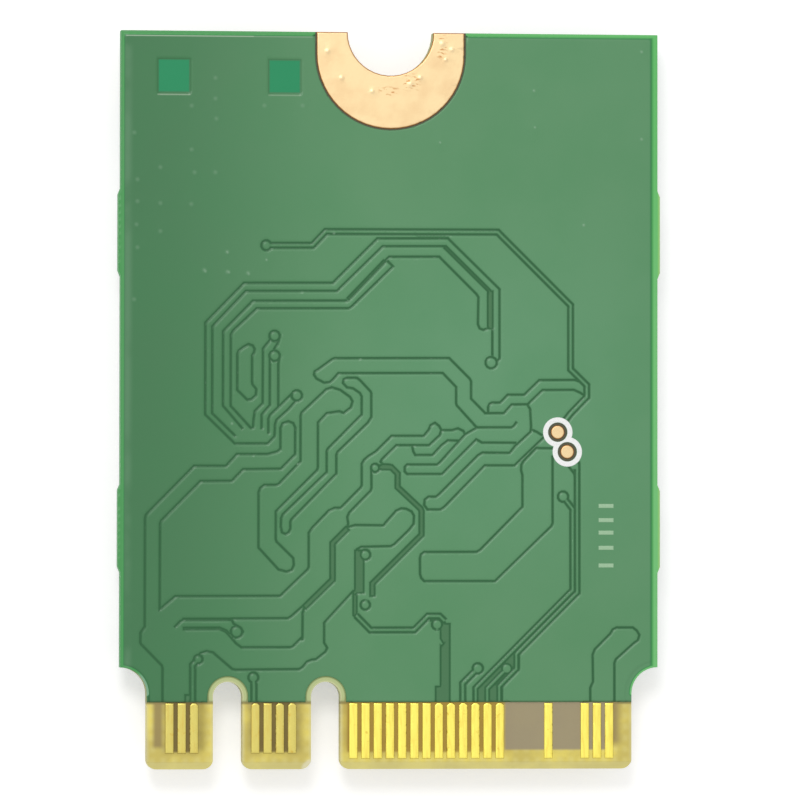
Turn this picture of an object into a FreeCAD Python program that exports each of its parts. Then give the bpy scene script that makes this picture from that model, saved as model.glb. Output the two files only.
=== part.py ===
import FreeCAD
import Part
import Sketcher
import math
import os

os.makedirs("parts", exist_ok=True)

# Driving sizes in millimetres.
# A standard small plug-in card, 22 by 30, lying on its shield lid with its back side up.
# X runs across the card, +Y from the edge contacts to the screw notch, +Z out of the back side.
SIZES = {
    "board_width": 22.0,
    "board_length": 30.0,
    "laminate_thick": 0.70,
    "film_thick": 0.05,
    "foil_step": 0.03,
    "foil_pull_left": 0.12,
    "foil_pull_right": 0.25,
    "foil_pull_top": 0.16,
    "front_height": 1.30,
    "tongue_half": 9.925,
    "first_pin_inset": 0.675,
    "cove_radius": 1.075,
    "cove_height": 3.06,
    "key_width": 1.20,
    "key_depth": 3.55,
    "key_left_pin": 11.5,
    "key_right_pin": 27.5,
    "key_pullback": 0.23,
    "mask_end": 2.72,
    "tongue_corner": 0.40,
    "bevel_length": 0.31,
    "bevel_depth": 0.18,
    "notch_radius": 1.76,
    "pad_half": 3.03,
    "pad_drop": 0.90,
    "pad_clear": 0.06,
    "pad_thick": 0.045,
    "tab_depth": 0.10,
    "contact_width": 0.35,
    "contact_pitch": 0.50,
    "contact_top": 2.69,
    "contact_foot_short": 0.65,
    "contact_foot_long": 0.43,
    "gap_width": 0.09,
    "window_width": 1.35,
    "window_height": 1.41,
    "window_drop": 1.83,
    "window_from_edge": 2.145,
    "window_pitch": 4.52,
    "test_radius": 0.285,
    "test_opening": 0.385,
    "ring_inner": 0.395,
    "ring_outer": 0.61,
    "ink_thick": 0.012,
    "bar_length": 0.62,
    "bar_width": 0.17,
    "bar_from_edge": 2.13,
    "can_from_side": 0.80,
    "can_from_top": 4.95,
    "can_from_contacts": 5.65,
    "sheet_thick": 0.15,
    "lid_skirt": 0.95,
    "lid_clear": 0.03,
    "lid_corner": 0.50,
    "lid_bend": 0.14,
    "flange_width": 0.80,
    "bridge_width": 1.60,
    "press_length": 0.90,
    "press_height": 0.22,
    "press_depth": 0.10,
    "foot_gap_width": 0.90,
    "foot_gap_height": 0.16,
    "solder_size": 0.14,
    "solder_length": 2.20,
    "port_base": 1.95,
    "port_base_thick": 0.24,
    "port_radius": 0.75,
    "port_wall": 0.10,
    "port_height": 0.62,
    "port_pin_radius": 0.14,
    "port_pin_height": 0.46,
    "port_foot": 0.28,
    "port_flange": 1.21,
    "radio_side": 8.80,
    "radio_thick": 0.72,
    "module_width": 3.00,
    "module_length": 2.60,
    "module_thick": 0.62,
    "crystal_width": 2.05,
    "crystal_length": 1.65,
    "crystal_base": 0.34,
    "crystal_lid": 0.14,
    "filter_width": 2.00,
    "filter_length": 1.25,
    "filter_thick": 0.60,
    "coil_side": 2.00,
    "coil_thick": 0.80,
    "chip_length": 0.60,
    "chip_width": 0.32,
    "chip_thick": 0.30,
    "chip_cap": 0.15,
    "chip_row_pitch": 1.00,
    "coil_wall_gap": 0.90,
    "coil_low_gap": 1.60,
    "coil_pitch": 3.40,
    "radio_coil_gap": 0.60,
    "radio_low_gap": 1.20,
    "module_wall_gap": 1.95,
    "module_pitch": 5.00,
    "filter_top_gap": 0.55,
    "module_filter_gap": 0.58,
    "crystal_wall_gap": 2.12,
    "crystal_top_gap": 3.48,
    "crystal_rim": 0.12,
    "passive_gap": 0.50,
    "resistor_thick": 0.24,
}

# Places that follow from the driving sizes.
S = dict(SIZES)
S["half_width"] = S["board_width"] / 2
S["half_length"] = S["board_length"] / 2
S["laminate_z"] = S["front_height"] + S["film_thick"]
S["back_z"] = S["laminate_z"] + S["laminate_thick"]
S["back_face"] = S["back_z"] + S["film_thick"]
S["groove_floor"] = S["back_face"] - S["foil_step"]
S["base_thick"] = S["film_thick"] - S["foil_step"]
S["contact_front_z"] = S["laminate_z"] - S["pad_thick"]
S["edge_y"] = -S["half_length"]
S["window_y"] = S["half_length"] - S["window_drop"]
S["window_left"] = S["window_from_edge"] - S["half_width"]
S["window_right"] = S["window_left"] + S["window_pitch"]
S["first_pin_x"] = S["first_pin_inset"] - S["tongue_half"]
S["key_left"] = S["first_pin_x"] + S["contact_pitch"] / 2 * (S["key_left_pin"] - 1)
S["key_right"] = S["first_pin_x"] + S["contact_pitch"] / 2 * (S["key_right_pin"] - 1)
S["bar_x"] = S["half_width"] - S["bar_from_edge"]
S["can_width"] = S["board_width"] - 2 * S["can_from_side"]
S["can_length"] = S["board_length"] - S["can_from_top"] - S["can_from_contacts"]
S["can_centre"] = (S["can_from_contacts"] - S["can_from_top"]) / 2
S["can_inside_x"] = S["can_width"] / 2 - S["sheet_thick"]
S["can_inside_low"] = S["can_centre"] - S["can_length"] / 2 + S["sheet_thick"]
S["can_inside_high"] = S["can_centre"] + S["can_length"] / 2 - S["sheet_thick"]
S["lid_width"] = S["can_width"] + 2 * (S["lid_clear"] + S["sheet_thick"])
S["lid_length"] = S["can_length"] + 2 * (S["lid_clear"] + S["sheet_thick"])
S["lid_well"] = S["lid_skirt"] - S["sheet_thick"]
S["fence_height"] = S["front_height"] - S["sheet_thick"]
S["fence_z"] = S["sheet_thick"]

# How far a cutting outline runs past the edge that it cuts.
RUN_OUT = 0.5

doc = FreeCAD.newDocument("card")
dims = doc.addObject("Spreadsheet::Sheet", "dims")
for row, (name, value) in enumerate(S.items(), start=1):
    dims.set("A%d" % row, name)
    dims.set("B%d" % row, "%.6g" % value)
    dims.setAlias("B%d" % row, name)
doc.recompute()

nodes = []


def cell(name):
    """The expression that reads one named size from the sheet."""
    return "dims." + name


def hand_in(label, obj):
    """Lists an object as one of the pieces of the card."""
    obj.Label = label
    nodes.append((label, obj))
    return obj


def lift_to(obj, name):
    """Sets an object at the height held in one named cell."""
    obj.Placement = FreeCAD.Placement(FreeCAD.Vector(0, 0, S[name]), FreeCAD.Rotation())
    obj.setExpression("Placement.Base.z", cell(name))
    return obj


def new_body(label):
    body = doc.addObject("PartDesign::Body", "body_" + label)
    body.Label = "body_" + label
    if hasattr(body, "AllowCompound"):
        body.AllowCompound = True
    return body


def base_plane(body, role):
    for feature in body.Origin.OriginFeatures:
        if feature.Role == role:
            return feature
    raise ValueError("no plane " + role)


def new_sketch(body, name, role="XY_Plane", offset=None, sign=1):
    """A sketch on one of the body's own planes, moved along the plane's normal by a named size."""
    sketch = body.newObject("Sketcher::SketchObject", name)
    sketch.AttachmentSupport = (base_plane(body, role), [""])
    sketch.MapMode = "FlatFace"
    if offset is not None:
        place = FreeCAD.Placement(FreeCAD.Vector(0, 0, sign * S[offset]), FreeCAD.Rotation())
        sketch.AttachmentOffset = place
        prefix = "" if sign > 0 else "-"
        sketch.setExpression("AttachmentOffset.Base.z", prefix + cell(offset))
    return sketch


def closed_lines(sketch, points):
    """Adds a closed outline of straight lines, joined corner to corner."""
    first = sketch.GeometryCount
    count = len(points)
    for k in range(count):
        x0, y0 = points[k]
        x1, y1 = points[(k + 1) % count]
        sketch.addGeometry(Part.LineSegment(FreeCAD.Vector(x0, y0, 0), FreeCAD.Vector(x1, y1, 0)), False)
    for k in range(count):
        sketch.addConstraint(Sketcher.Constraint("Coincident", first + k, 2, first + (k + 1) % count, 1))
    return first


def rectangle(sketch, centre, width, height, across=0.0, up=0.0):
    """Adds a rectangle about a point, with both sides bound to named sizes."""
    x, y = centre
    w = S[width] + across
    t = S[height] + up
    corners = [(x - w / 2, y - t / 2), (x + w / 2, y - t / 2), (x + w / 2, y + t / 2), (x - w / 2, y + t / 2)]
    first = closed_lines(sketch, corners)
    for side in (0, 2):
        sketch.addConstraint(Sketcher.Constraint("Horizontal", first + side))
    for side in (1, 3):
        sketch.addConstraint(Sketcher.Constraint("Vertical", first + side))
    wide = sketch.addConstraint(Sketcher.Constraint("DistanceX", first, 1, first, 2, w))
    high = sketch.addConstraint(Sketcher.Constraint("DistanceY", first + 1, 1, first + 1, 2, t))
    sketch.addConstraint(Sketcher.Constraint("DistanceX", -1, 1, first, 1, x - w / 2))
    sketch.addConstraint(Sketcher.Constraint("DistanceY", -1, 1, first, 1, y - t / 2))
    sketch.setExpression("Constraints[%d]" % wide, "%s + %.6g" % (cell(width), across))
    sketch.setExpression("Constraints[%d]" % high, "%s + %.6g" % (cell(height), up))
    return first


def circle(sketch, centre, radius, extra=0.0):
    """Adds a circle about a point with its radius bound to a named size."""
    x, y = centre
    value = S[radius] + extra
    index = sketch.addGeometry(Part.Circle(FreeCAD.Vector(x, y, 0), FreeCAD.Vector(0, 0, 1), value), False)
    size = sketch.addConstraint(Sketcher.Constraint("Radius", index, value))
    if abs(x) > 1e-6:
        sketch.addConstraint(Sketcher.Constraint("DistanceX", -1, 1, index, 3, x))
    else:
        sketch.addConstraint(Sketcher.Constraint("PointOnObject", index, 3, -2))
    if abs(y) > 1e-6:
        sketch.addConstraint(Sketcher.Constraint("DistanceY", -1, 1, index, 3, y))
    else:
        sketch.addConstraint(Sketcher.Constraint("PointOnObject", index, 3, -1))
    sketch.setExpression("Constraints[%d]" % size, "%s + %.6g" % (cell(radius), extra))
    return index


def pad(body, sketch, name, length, reverse=False):
    feature = body.newObject("PartDesign::Pad", name)
    feature.Profile = sketch
    feature.Length = S[length]
    feature.setExpression("Length", cell(length))
    feature.Reversed = reverse
    sketch.Visibility = False
    return feature


def pocket(body, sketch, name, length, reverse=False):
    feature = body.newObject("PartDesign::Pocket", name)
    feature.Profile = sketch
    feature.Length = S[length]
    feature.setExpression("Length", cell(length))
    feature.Reversed = reverse
    sketch.Visibility = False
    return feature


def edges_where(feature, test):
    """Names of the edges of a feature whose two ends and middle pass a test."""
    names = []
    for k, edge in enumerate(feature.Shape.Edges, start=1):
        if len(edge.Vertexes) == 2:
            middle = edge.valueAt((edge.FirstParameter + edge.LastParameter) / 2)
            if test(edge.Vertexes[0].Point, edge.Vertexes[1].Point, middle):
                names.append("Edge%d" % k)
    return names


def near(a, b):
    return abs(a - b) < 1e-3


def fillet(body, feature, name, radius, test):
    doc.recompute()
    round_off = body.newObject("PartDesign::Fillet", name)
    round_off.Base = (feature, edges_where(feature, test))
    round_off.Radius = S[radius]
    round_off.setExpression("Radius", cell(radius))
    doc.recompute()
    return round_off


def box(label, width, length, height, centre, z):
    """A block about a point in plan. Its sides and its lower face are named sizes."""
    block = doc.addObject("Part::Box", label)
    block.Length = S[width]
    block.Width = S[length]
    block.Height = S[height]
    block.setExpression("Length", cell(width))
    block.setExpression("Width", cell(length))
    block.setExpression("Height", cell(height))
    x, y = centre
    block.Placement.Base = FreeCAD.Vector(x - S[width] / 2, y - S[length] / 2, z)
    block.setExpression("Placement.Base.x", "%.6g - %s / 2" % (x, cell(width)))
    block.setExpression("Placement.Base.y", "%.6g - %s / 2" % (y, cell(length)))
    return block


def hang(block, height):
    """Hangs a block under the component side: its top touches the mask."""
    block.Placement.Base.z = S["front_height"] - S[height]
    block.setExpression("Placement.Base.z", "dims.front_height - " + cell(height))
    return block


def fuse(label, pieces):
    joined = doc.addObject("Part::MultiFuse", label)
    joined.Shapes = pieces
    return joined


def cut(label, base, tool):
    rest = doc.addObject("Part::Cut", label)
    rest.Base = base
    rest.Tool = tool
    return rest


# Laminate
# The glass-cloth board itself: a 22 by 30 plate with three tongues, two key notches
# and a half-round screw notch, and the broken-off stubs of the panel tabs on both long edges.
laminate = new_body("laminate")
lift_to(laminate, "laminate_z")
plan = new_sketch(laminate, "board_outline")
rectangle(plan, (0, 0), "board_width", "board_length")
plate = pad(laminate, plan, "board_plate", "laminate_thick")

TAB_LENGTH = 3.60
TAB_FROM_TOP = 8.20
TAB_FROM_CONTACTS = 9.78
STUB_SLOPE = 0.25


def stub_outlines(sketch):
    """The four stubs at the long edges where the card was broken out of its panel."""
    for side in (-1, 1):
        for middle_y in (S["half_length"] - TAB_FROM_TOP, TAB_FROM_CONTACTS - S["half_length"]):
            low = middle_y - TAB_LENGTH / 2
            high = middle_y + TAB_LENGTH / 2
            inner = side * (S["half_width"] - RUN_OUT)
            edge = side * S["half_width"]
            outer = side * (S["half_width"] + S["tab_depth"])
            closed_lines(sketch, [(inner, low), (edge, low), (outer, low + STUB_SLOPE),
                                  (outer, high - STUB_SLOPE), (edge, high), (inner, high)])


stubs = new_sketch(laminate, "tab_stubs")
stub_outlines(stubs)
pad(laminate, stubs, "tab_stub_pad", "laminate_thick")


def arc_outline(sketch, before, centre, radius, start, end, after):
    """Adds a closed outline: the points before an arc, the arc, then the points after it."""
    first_point = (centre[0] + radius * math.cos(start), centre[1] + radius * math.sin(start))
    last_point = (centre[0] + radius * math.cos(end), centre[1] + radius * math.sin(end))
    low, high = (start, end) if start < end else (end, start)
    middle = FreeCAD.Vector(centre[0], centre[1], 0)
    arc = Part.ArcOfCircle(Part.Circle(middle, FreeCAD.Vector(0, 0, 1), radius), low, high)
    arc_index = sketch.addGeometry(arc, False)
    chain = [last_point] + after + before + [first_point]
    for (x0, y0), (x1, y1) in zip(chain[:-1], chain[1:]):
        sketch.addGeometry(Part.LineSegment(FreeCAD.Vector(x0, y0, 0), FreeCAD.Vector(x1, y1, 0)), False)
    return arc_index


def cove_outline(sketch, side):
    """The material taken away beside the tongues, with a quarter-round top."""
    x_in = side * S["tongue_half"]
    x_out = side * (S["half_width"] + RUN_OUT)
    centre = (side * (S["tongue_half"] + S["cove_radius"]), S["edge_y"] + S["cove_height"])
    below = S["edge_y"] - RUN_OUT
    top = centre[1] + S["cove_radius"]
    start = math.pi if side > 0 else 0.0
    arc_outline(sketch, [(x_out, top), (x_out, below), (x_in, below)], centre, S["cove_radius"],
                start, math.pi / 2, [])


def key_outline(sketch, x, grow=0.0):
    """A key notch: straight sides and a full-round top."""
    radius = S["key_width"] / 2 + grow
    centre = (x, S["edge_y"] + S["key_depth"] - S["key_width"] / 2)
    below = S["edge_y"] - RUN_OUT
    arc_outline(sketch, [(x - radius, below), (x + radius, below)], centre, radius, 0.0, math.pi, [])


cuts = new_sketch(laminate, "edge_cuts")
for side in (-1, 1):
    cove_outline(cuts, side)
for key in ("key_left", "key_right"):
    key_outline(cuts, S[key])
pocket(laminate, cuts, "edge_cut_pocket", "laminate_thick", reverse=True)

hole = new_sketch(laminate, "screw_notch")
circle(hole, (0, S["half_length"]), "notch_radius")
edge_cut = pocket(laminate, hole, "screw_notch_pocket", "laminate_thick", reverse=True)


def tongue_corner(a, b, middle):
    upright = near(a.x, b.x) and near(a.y, b.y)
    return upright and near(a.y, S["edge_y"])


rounded = fillet(laminate, edge_cut, "tongue_corners", "tongue_corner", tongue_corner)

bevel = new_sketch(laminate, "edge_bevel", "YZ_Plane")
for low, direction in ((0.0, 1), (S["laminate_thick"], -1)):
    foot = S["edge_y"] - RUN_OUT
    slope = S["bevel_depth"] / S["bevel_length"]
    closed_lines(bevel, [(S["edge_y"] + S["bevel_length"], low),
                         (foot, low + direction * (S["bevel_depth"] + RUN_OUT * slope)),
                         (foot, low - direction * RUN_OUT),
                         (S["edge_y"] + S["bevel_length"], low - direction * RUN_OUT)])
chamfer = laminate.newObject("PartDesign::Pocket", "edge_bevel_pocket")
chamfer.Profile = bevel
chamfer.Midplane = True
chamfer.Length = S["board_width"] + 2 * RUN_OUT
chamfer.setExpression("Length", "dims.board_width + %.6g" % (2 * RUN_OUT))
hand_in("laminate", laminate)
doc.recompute()

# Film outline
# The green mask ends short of the contacts, keeps clear of the key notches and follows
# the board edge everywhere else.


def film_body(label, thick, z, pulls=(0.0, 0.0, 0.0)):
    """A thin film with the board's outline, pulled in from its left, right and top edges."""
    body = new_body(label)
    lift_to(body, z)
    outline = new_sketch(body, label + "_outline")
    pull_left, pull_right, pull_top = pulls
    middle = ((pull_left - pull_right) / 2, -pull_top / 2)
    rectangle(outline, middle, "board_width", "board_length", -pull_left - pull_right, -pull_top)
    pad(body, outline, label + "_sheet", thick)
    edge = new_sketch(body, label + "_edge_cuts")
    end_y = S["edge_y"] + S["mask_end"]
    below = S["edge_y"] - RUN_OUT
    for side, pull in ((-1, pull_left), (1, pull_right)):
        radius = S["cove_radius"] + pull
        x_in = side * (S["tongue_half"] - pull)
        x_out = side * (S["half_width"] + RUN_OUT)
        centre = (side * (S["tongue_half"] + S["cove_radius"]), S["edge_y"] + S["cove_height"])
        start = math.pi if side > 0 else 0.0
        arc_outline(edge, [(x_out, centre[1] + radius), (x_out, end_y), (x_in, end_y)], centre, radius,
                    start, math.pi / 2, [])
    pocket(body, edge, label + "_edge_pocket", thick, reverse=True)
    tongues = new_sketch(body, label + "_tongue_cut")
    reach_x = S["half_width"] + RUN_OUT
    closed_lines(tongues, [(-reach_x, below), (reach_x, below), (reach_x, end_y), (-reach_x, end_y)])
    pocket(body, tongues, label + "_tongue_pocket", thick, reverse=True)
    for key in ("key_left", "key_right"):
        notch = new_sketch(body, label + "_" + key)
        key_outline(notch, S[key], S["key_pullback"])
        pocket(body, notch, label + "_" + key + "_pocket", thick, reverse=True)
    pad_cut = new_sketch(body, label + "_pad_opening")
    reach = S["pad_half"] + S["pad_clear"]
    low = S["half_length"] - S["pad_drop"]
    high = S["half_length"] + RUN_OUT
    arc_outline(pad_cut, [(-reach, high)], (0, low), reach, math.pi, 2 * math.pi, [(reach, high)])
    pocket(body, pad_cut, label + "_pad_pocket", thick, reverse=True)
    return body


TEST_PADS = [(6.879, -1.273), (7.272, -2.073)]
mask_sheet = film_body("mask_sheet", "base_thick", "back_z")
film_stubs = new_sketch(mask_sheet, "film_stubs")
stub_outlines(film_stubs)
pad(mask_sheet, film_stubs, "film_stub_pad", "base_thick")
openings = new_sketch(mask_sheet, "test_openings")
for place in TEST_PADS:
    circle(openings, place, "test_opening")
pocket(mask_sheet, openings, "test_opening_pocket", "base_thick", reverse=True)

foil_pulls = (S["foil_pull_left"], S["foil_pull_right"], S["foil_pull_top"])
foil_sheet = film_body("foil_sheet", "foil_step", "groove_floor", foil_pulls)
foil_openings = new_sketch(foil_sheet, "foil_openings")
for place in TEST_PADS:
    circle(foil_openings, place, "test_opening")
for window in ("window_left", "window_right"):
    rectangle(foil_openings, (S[window], S["window_y"]), "window_width", "window_height")
pocket(foil_sheet, foil_openings, "foil_opening_pocket", "foil_step", reverse=True)
doc.recompute()

# Routing seen on the back side
# Traces to the contacts end a little below the film's lower edge.
TRACE_END = -12.3

# Narrow gaps etched between the copper areas, as centre lines in mm.
GAP_LINES = [
    # bus of three broad traces, from its outer gap inwards
    [(-3.865, -0.027), (-4.189, -0.39), (-4.663, -0.819), (-4.713, -0.989), (-4.738, -1.478),
     (-5.013, -1.768), (-6.359, -1.774), (-7.564, -0.604), (-7.561, 3.133), (-5.987, 4.756),
     (-2.357, 4.78), (-0.539, 6.597), (2.361, 6.617), (4.481, 4.554), (4.483, 1.726), (4.358, 1.605)],
    [(-6.329, -1.475), (-7.28, -0.552), (-7.278, 2.985), (-5.917, 4.428), (-2.187, 4.452), (-0.319, 6.279),
     (2.261, 6.297)],
    [(-6.03, -1.184), (-6.841, -0.241), (-6.84, 2.788), (-5.628, 4.031), (-1.767, 4.055)],
    [(-0.329, 5.591), (-0.049, 5.852), (2.001, 5.866), (3.534, 4.348), (3.614, 4.219), (3.595, 3.12),
     (3.665, 2.95), (3.816, 2.891), (3.956, 2.942)],
    [(4.188, 3.003), (4.189, 1.774)],
    # inner gap of the bus, round the left column and back down
    [(-4.921, 2.451), (-4.981, 2.371), (-5.211, 2.09), (-5.222, -0.133), (-5.541, -0.454), (-5.591, -0.793),
     (-5.621, -1.123), (-5.701, -1.143), (-6.525, -0.25), (-6.523, 2.661), (-6.436, 2.811), (-5.469, 3.723),
     (-1.708, 3.746), (-1.588, 3.817), (0.101, 5.464), (-0.129, 5.692)],
    [(-4.562, 2.453), (-4.622, 2.283), (-4.772, 2.053)],
    [(-4.927, 1.803), (-4.932, -0.212), (-5.262, -0.592), (-5.267, -1.191)],
    [(-4.553, 1.685), (-4.583, 1.456), (-4.583, -0.28)],
    [(-3.994, 0.292), (-4.573, -0.28), (-4.922, -0.611), (-4.987, -0.761), (-4.988, -1.369)],
    # broad trace from the first contact of the left tongue
    [(-9.284, TRACE_END), (-9.283, -10.907), (-9.315, -10.787), (-10.161, -9.92), (-10.19, -9.84),
     (-10.18, -9.461), (-10.011, -9.211), (-10.006, -4.831), (-9.966, -4.672), (-8.014, -2.689),
     (-6.718, -2.684),
     (-6.269, -2.203), (-5.013, -2.197), (-4.624, -2.096), (-4.494, -1.986), (-4.494, -1.137),
     (-4.404, -0.947),
     (-4.174, -0.866), (-3.975, -0.935), (-3.89, -1.114), (-3.895, -2.202), (-4.474, -2.794), (-6.02, -2.82),
     (-6.479, -3.291), (-7.755, -3.307), (-9.34, -4.909), (-9.395, -5.028), (-9.403, -8.511), (-8.775, -7.98),
     (-4.496, -7.958), (-3.387, -6.895), (-3.333, -6.775), (-3.333, -5.396), (-3.177, -5.176),
     (-2.517, -4.494),
     (-2.277, -4.383), (-2.027, -4.377), (-1.218, -3.559), (-1.168, -3.459), (-1.168, -2.58), (-1.068, -2.42),
     (-0.888, -2.269), (-0.598, -2.088), (0.053, -1.445), (1.374, -1.439), (1.574, -1.198), (1.654, -1.008),
     (1.834, -0.907), (2.004, -1.036), (2.095, -1.206), (2.545, -1.204), (2.776, -1.133), (2.996, -1.232),
     (3.067, -1.381), (2.015, -2.536), (1.915, -2.607), (0.693, -2.612), (0.593, -2.712), (0.593, -2.892),
     (0.693, -2.997), (2.125, -2.991), (3.528, -1.579), (3.628, -1.629), (3.758, -1.708), (5.183, -1.712)],
    [(2.095, -1.206), (2.025, -1.416), (1.594, -1.818), (0.253, -1.824), (-0.337, -2.396), (-0.397, -2.497),
     (-0.307, -2.606), (0.033, -2.625)],
    [(0.893, -1.821), (0.943, -2.071), (1.024, -2.221), (1.734, -2.217), (2.095, -1.826), (2.355, -1.625),
     (2.826, -1.632)],
    # gaps round the pair of broad traces under the test pads
    [(5.623, -0.139), (5.744, -0.338), (5.784, -1.038), (5.765, -1.259), (5.103, -1.872), (4.902, -2.123),
     (3.779, -2.118), (3.598, -2.229), (1.996, -3.826), (1.875, -3.917), (1.575, -3.918), (1.415, -4.039),
     (1.395, -4.259), (1.525, -4.439), (2.066, -4.436), (2.216, -4.336), (3.879, -2.638), (5.103, -2.633),
     (6.177, -1.607), (6.387, -1.406)],
    [(5.785, -1.168), (6.006, -1.258), (6.247, -1.407)],
    [(6.709, -1.935), (5.996, -1.928), (5.485, -2.451), (5.384, -2.612), (5.374, -2.832), (5.428, -3.042),
     (5.429, -4.324), (3.691, -6.082), (3.541, -6.163), (1.395, -6.17), (1.265, -6.27), (1.22, -6.421),
     (1.225, -7.071), (1.276, -7.231), (1.396, -7.356), (4.304, -7.352), (6.612, -5.121), (6.672, -4.99),
     (6.669, -2.236)],
    # broad ring-shaped gap in the middle, open at its right end
    [(5.192, -0.851), (5.082, -1.012), (4.982, -1.082), (3.578, -1.089), (3.507, -1.049), (2.725, -0.193),
     (2.701, -0.103), (2.701, 0.553), (2.151, 1.123), (-2.127, 1.1), (-2.387, 0.809), (-2.487, 0.729),
     (-2.706, 0.708), (-3.026, 0.876), (-3.126, 1.035), (-3.096, 1.165), (-2.966, 1.245), (-2.387, 1.667),
     (-2.287, 1.708), (2.414, 1.734), (3.256, 0.899), (3.316, 0.78), (3.316, 0.08), (3.888, -0.497)],
    [(3.578, -1.089), (3.357, -1.21), (3.057, -1.381)],
    [(4.68, -0.503), (4.018, -0.507), (4.013, -0.267), (4.078, -0.126), (4.178, -0.076), (4.509, -0.074),
     (4.82, 0.247), (5.502, 0.251), (6.124, 0.849), (7.59, 0.862), (7.811, 0.783), (7.992, 0.604)],
    [(3.858, -0.507), (4.66, -0.504), (4.981, -0.152), (5.643, -0.138), (6.255, 0.445), (7.54, 0.457),
     (7.802, 0.343), (7.993, 0.224)],
    # closed loop left of the middle
    [(-2.387, 0.525), (-2.627, 0.439), (-3.625, -0.504), (-3.671, -0.634), (-3.672, -2.481), (-4.564, -3.413),
     (-4.664, -3.449), (-5.153, -3.456), (-5.313, -3.576), (-5.383, -3.756), (-5.384, -6.002),
     (-4.565, -6.889),
     (-4.236, -6.978), (-4.026, -6.907), (-3.941, -6.707), (-3.966, -6.427), (-4.645, -5.76), (-4.68, -5.66),
     (-4.679, -4.532), (-2.997, -2.848), (-2.962, -2.747), (-2.961, -0.91), (-2.597, -0.529),
     (-2.057, -0.447)],
    [(-2.107, -0.447), (-1.907, -0.516), (-1.618, -0.295), (-1.548, -0.045), (-1.648, 0.134), (-2.057, 0.422),
     (-2.427, 0.53)],
    [(-1.398, 0.914), (-1.767, 0.912), (-1.907, 0.852), (-1.942, 0.702), (-1.777, 0.523), (-1.528, 0.484),
     (-1.248, 0.296), (-1.173, 0.157), (-1.173, -0.582), (-2.557, -1.977), (-2.602, -2.077), (-2.602, -2.926),
     (-4.395, -4.651), (-4.46, -4.801), (-4.475, -5.2)],
    [(-1.478, 0.914), (-1.358, 0.905), (-1.228, 0.805), (-0.808, 0.358), (-0.778, 0.279), (-0.778, -0.68),
     (-0.928, -0.921), (-2.157, -2.105), (-2.207, -2.225), (-2.207, -2.984), (-4.046, -4.859),
     (-4.086, -4.949),
     (-4.086, -5.229), (-4.156, -5.379), (-4.275, -5.449), (-4.425, -5.38), (-4.475, -5.13)],
    # right side of the broad trace that passes the keyed tongue
    [(-0.773, -2.718), (-0.767, -3.568), (-0.807, -3.688), (-1.677, -4.571), (-1.757, -4.751),
     (-1.717, -5.021),
     (-1.767, -5.171)],
    [(-1.767, -5.171), (-1.427, -5.079), (-0.277, -5.091), (-0.177, -4.965), (0.243, -4.493), (0.454, -4.398),
     (0.654, -4.412), (0.874, -4.521), (0.974, -4.691), (0.959, -5.031), (0.754, -5.292), (0.174, -5.854),
     (0.033, -5.934), (-1.187, -5.968), (-1.367, -6.069), (-1.437, -6.219)],
    [(-3.587, -8.385), (-4.027, -8.776), (-4.166, -8.867), (-6.522, -8.883)],
    [(-8.437, -8.927), (-8.566, -8.998), (-8.806, -9.238)],
    [(-3.497, -8.445), (-3.577, -8.645), (-3.587, -9.765)],
    [(-3.577, -9.615), (-3.997, -10.026), (-4.097, -10.046), (-6.074, -10.051), (-6.303, -9.881),
     (-6.483, -9.672)],
    [(-6.473, -8.932), (-6.393, -9.092), (-6.094, -9.271), (-6.014, -9.411), (-6.084, -9.561),
     (-6.323, -9.671)],
    # broad gap line over the left tongue
    [(-8.039, -10.584), (-7.74, -10.284), (-7.501, -10.209), (-7.241, -10.253), (-6.444, -10.931),
     (-6.304, -10.961), (-3.707, -10.936), (-3.577, -10.845), (-3.397, -10.635), (-3.208, -10.555),
     (-3.028, -10.534), (-2.648, -10.233), (-2.573, -10.073), (-2.698, -9.863), (-2.697, -9.053),
     (-1.527, -7.78)],
    # bend to the last contacts of the main tongue
    [(8.225, TRACE_END), (8.224, -11.706), (8.338, -11.455), (8.322, -10.351), (8.407, -10.14),
     (9.041, -9.506), (9.151, -9.325), (9.312, -9.244), (9.977, -9.243), (10.138, -9.363),
     (10.249, -9.543), (10.189, -9.764), (10.018, -9.885), (9.273, -10.549), (9.219, -10.7),
     (9.221, TRACE_END)],
    # right side of the thin pair under the test pads
    [(7.323, -2.663), (7.554, -2.953), (7.588, -3.083), (7.59, -4.185)],
    [(7.755, -2.481), (7.772, -2.601), (7.772, -3.182)],
]

# A closed loop round an oval land.
CAPSULE = [(-6.257, 1.865), (-6.258, 0.4), (-5.85, 0.003), (-5.67, 0.034), (-5.501, 0.194), (-5.481, 0.434),
           (-5.64, 0.632), (-5.656, 0.752), (-5.655, 1.799), (-5.58, 1.929), (-5.55, 2.069), (-5.629, 2.208),
           (-5.809, 2.266), (-6.028, 2.136), (-6.197, 2.005)]

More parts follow.
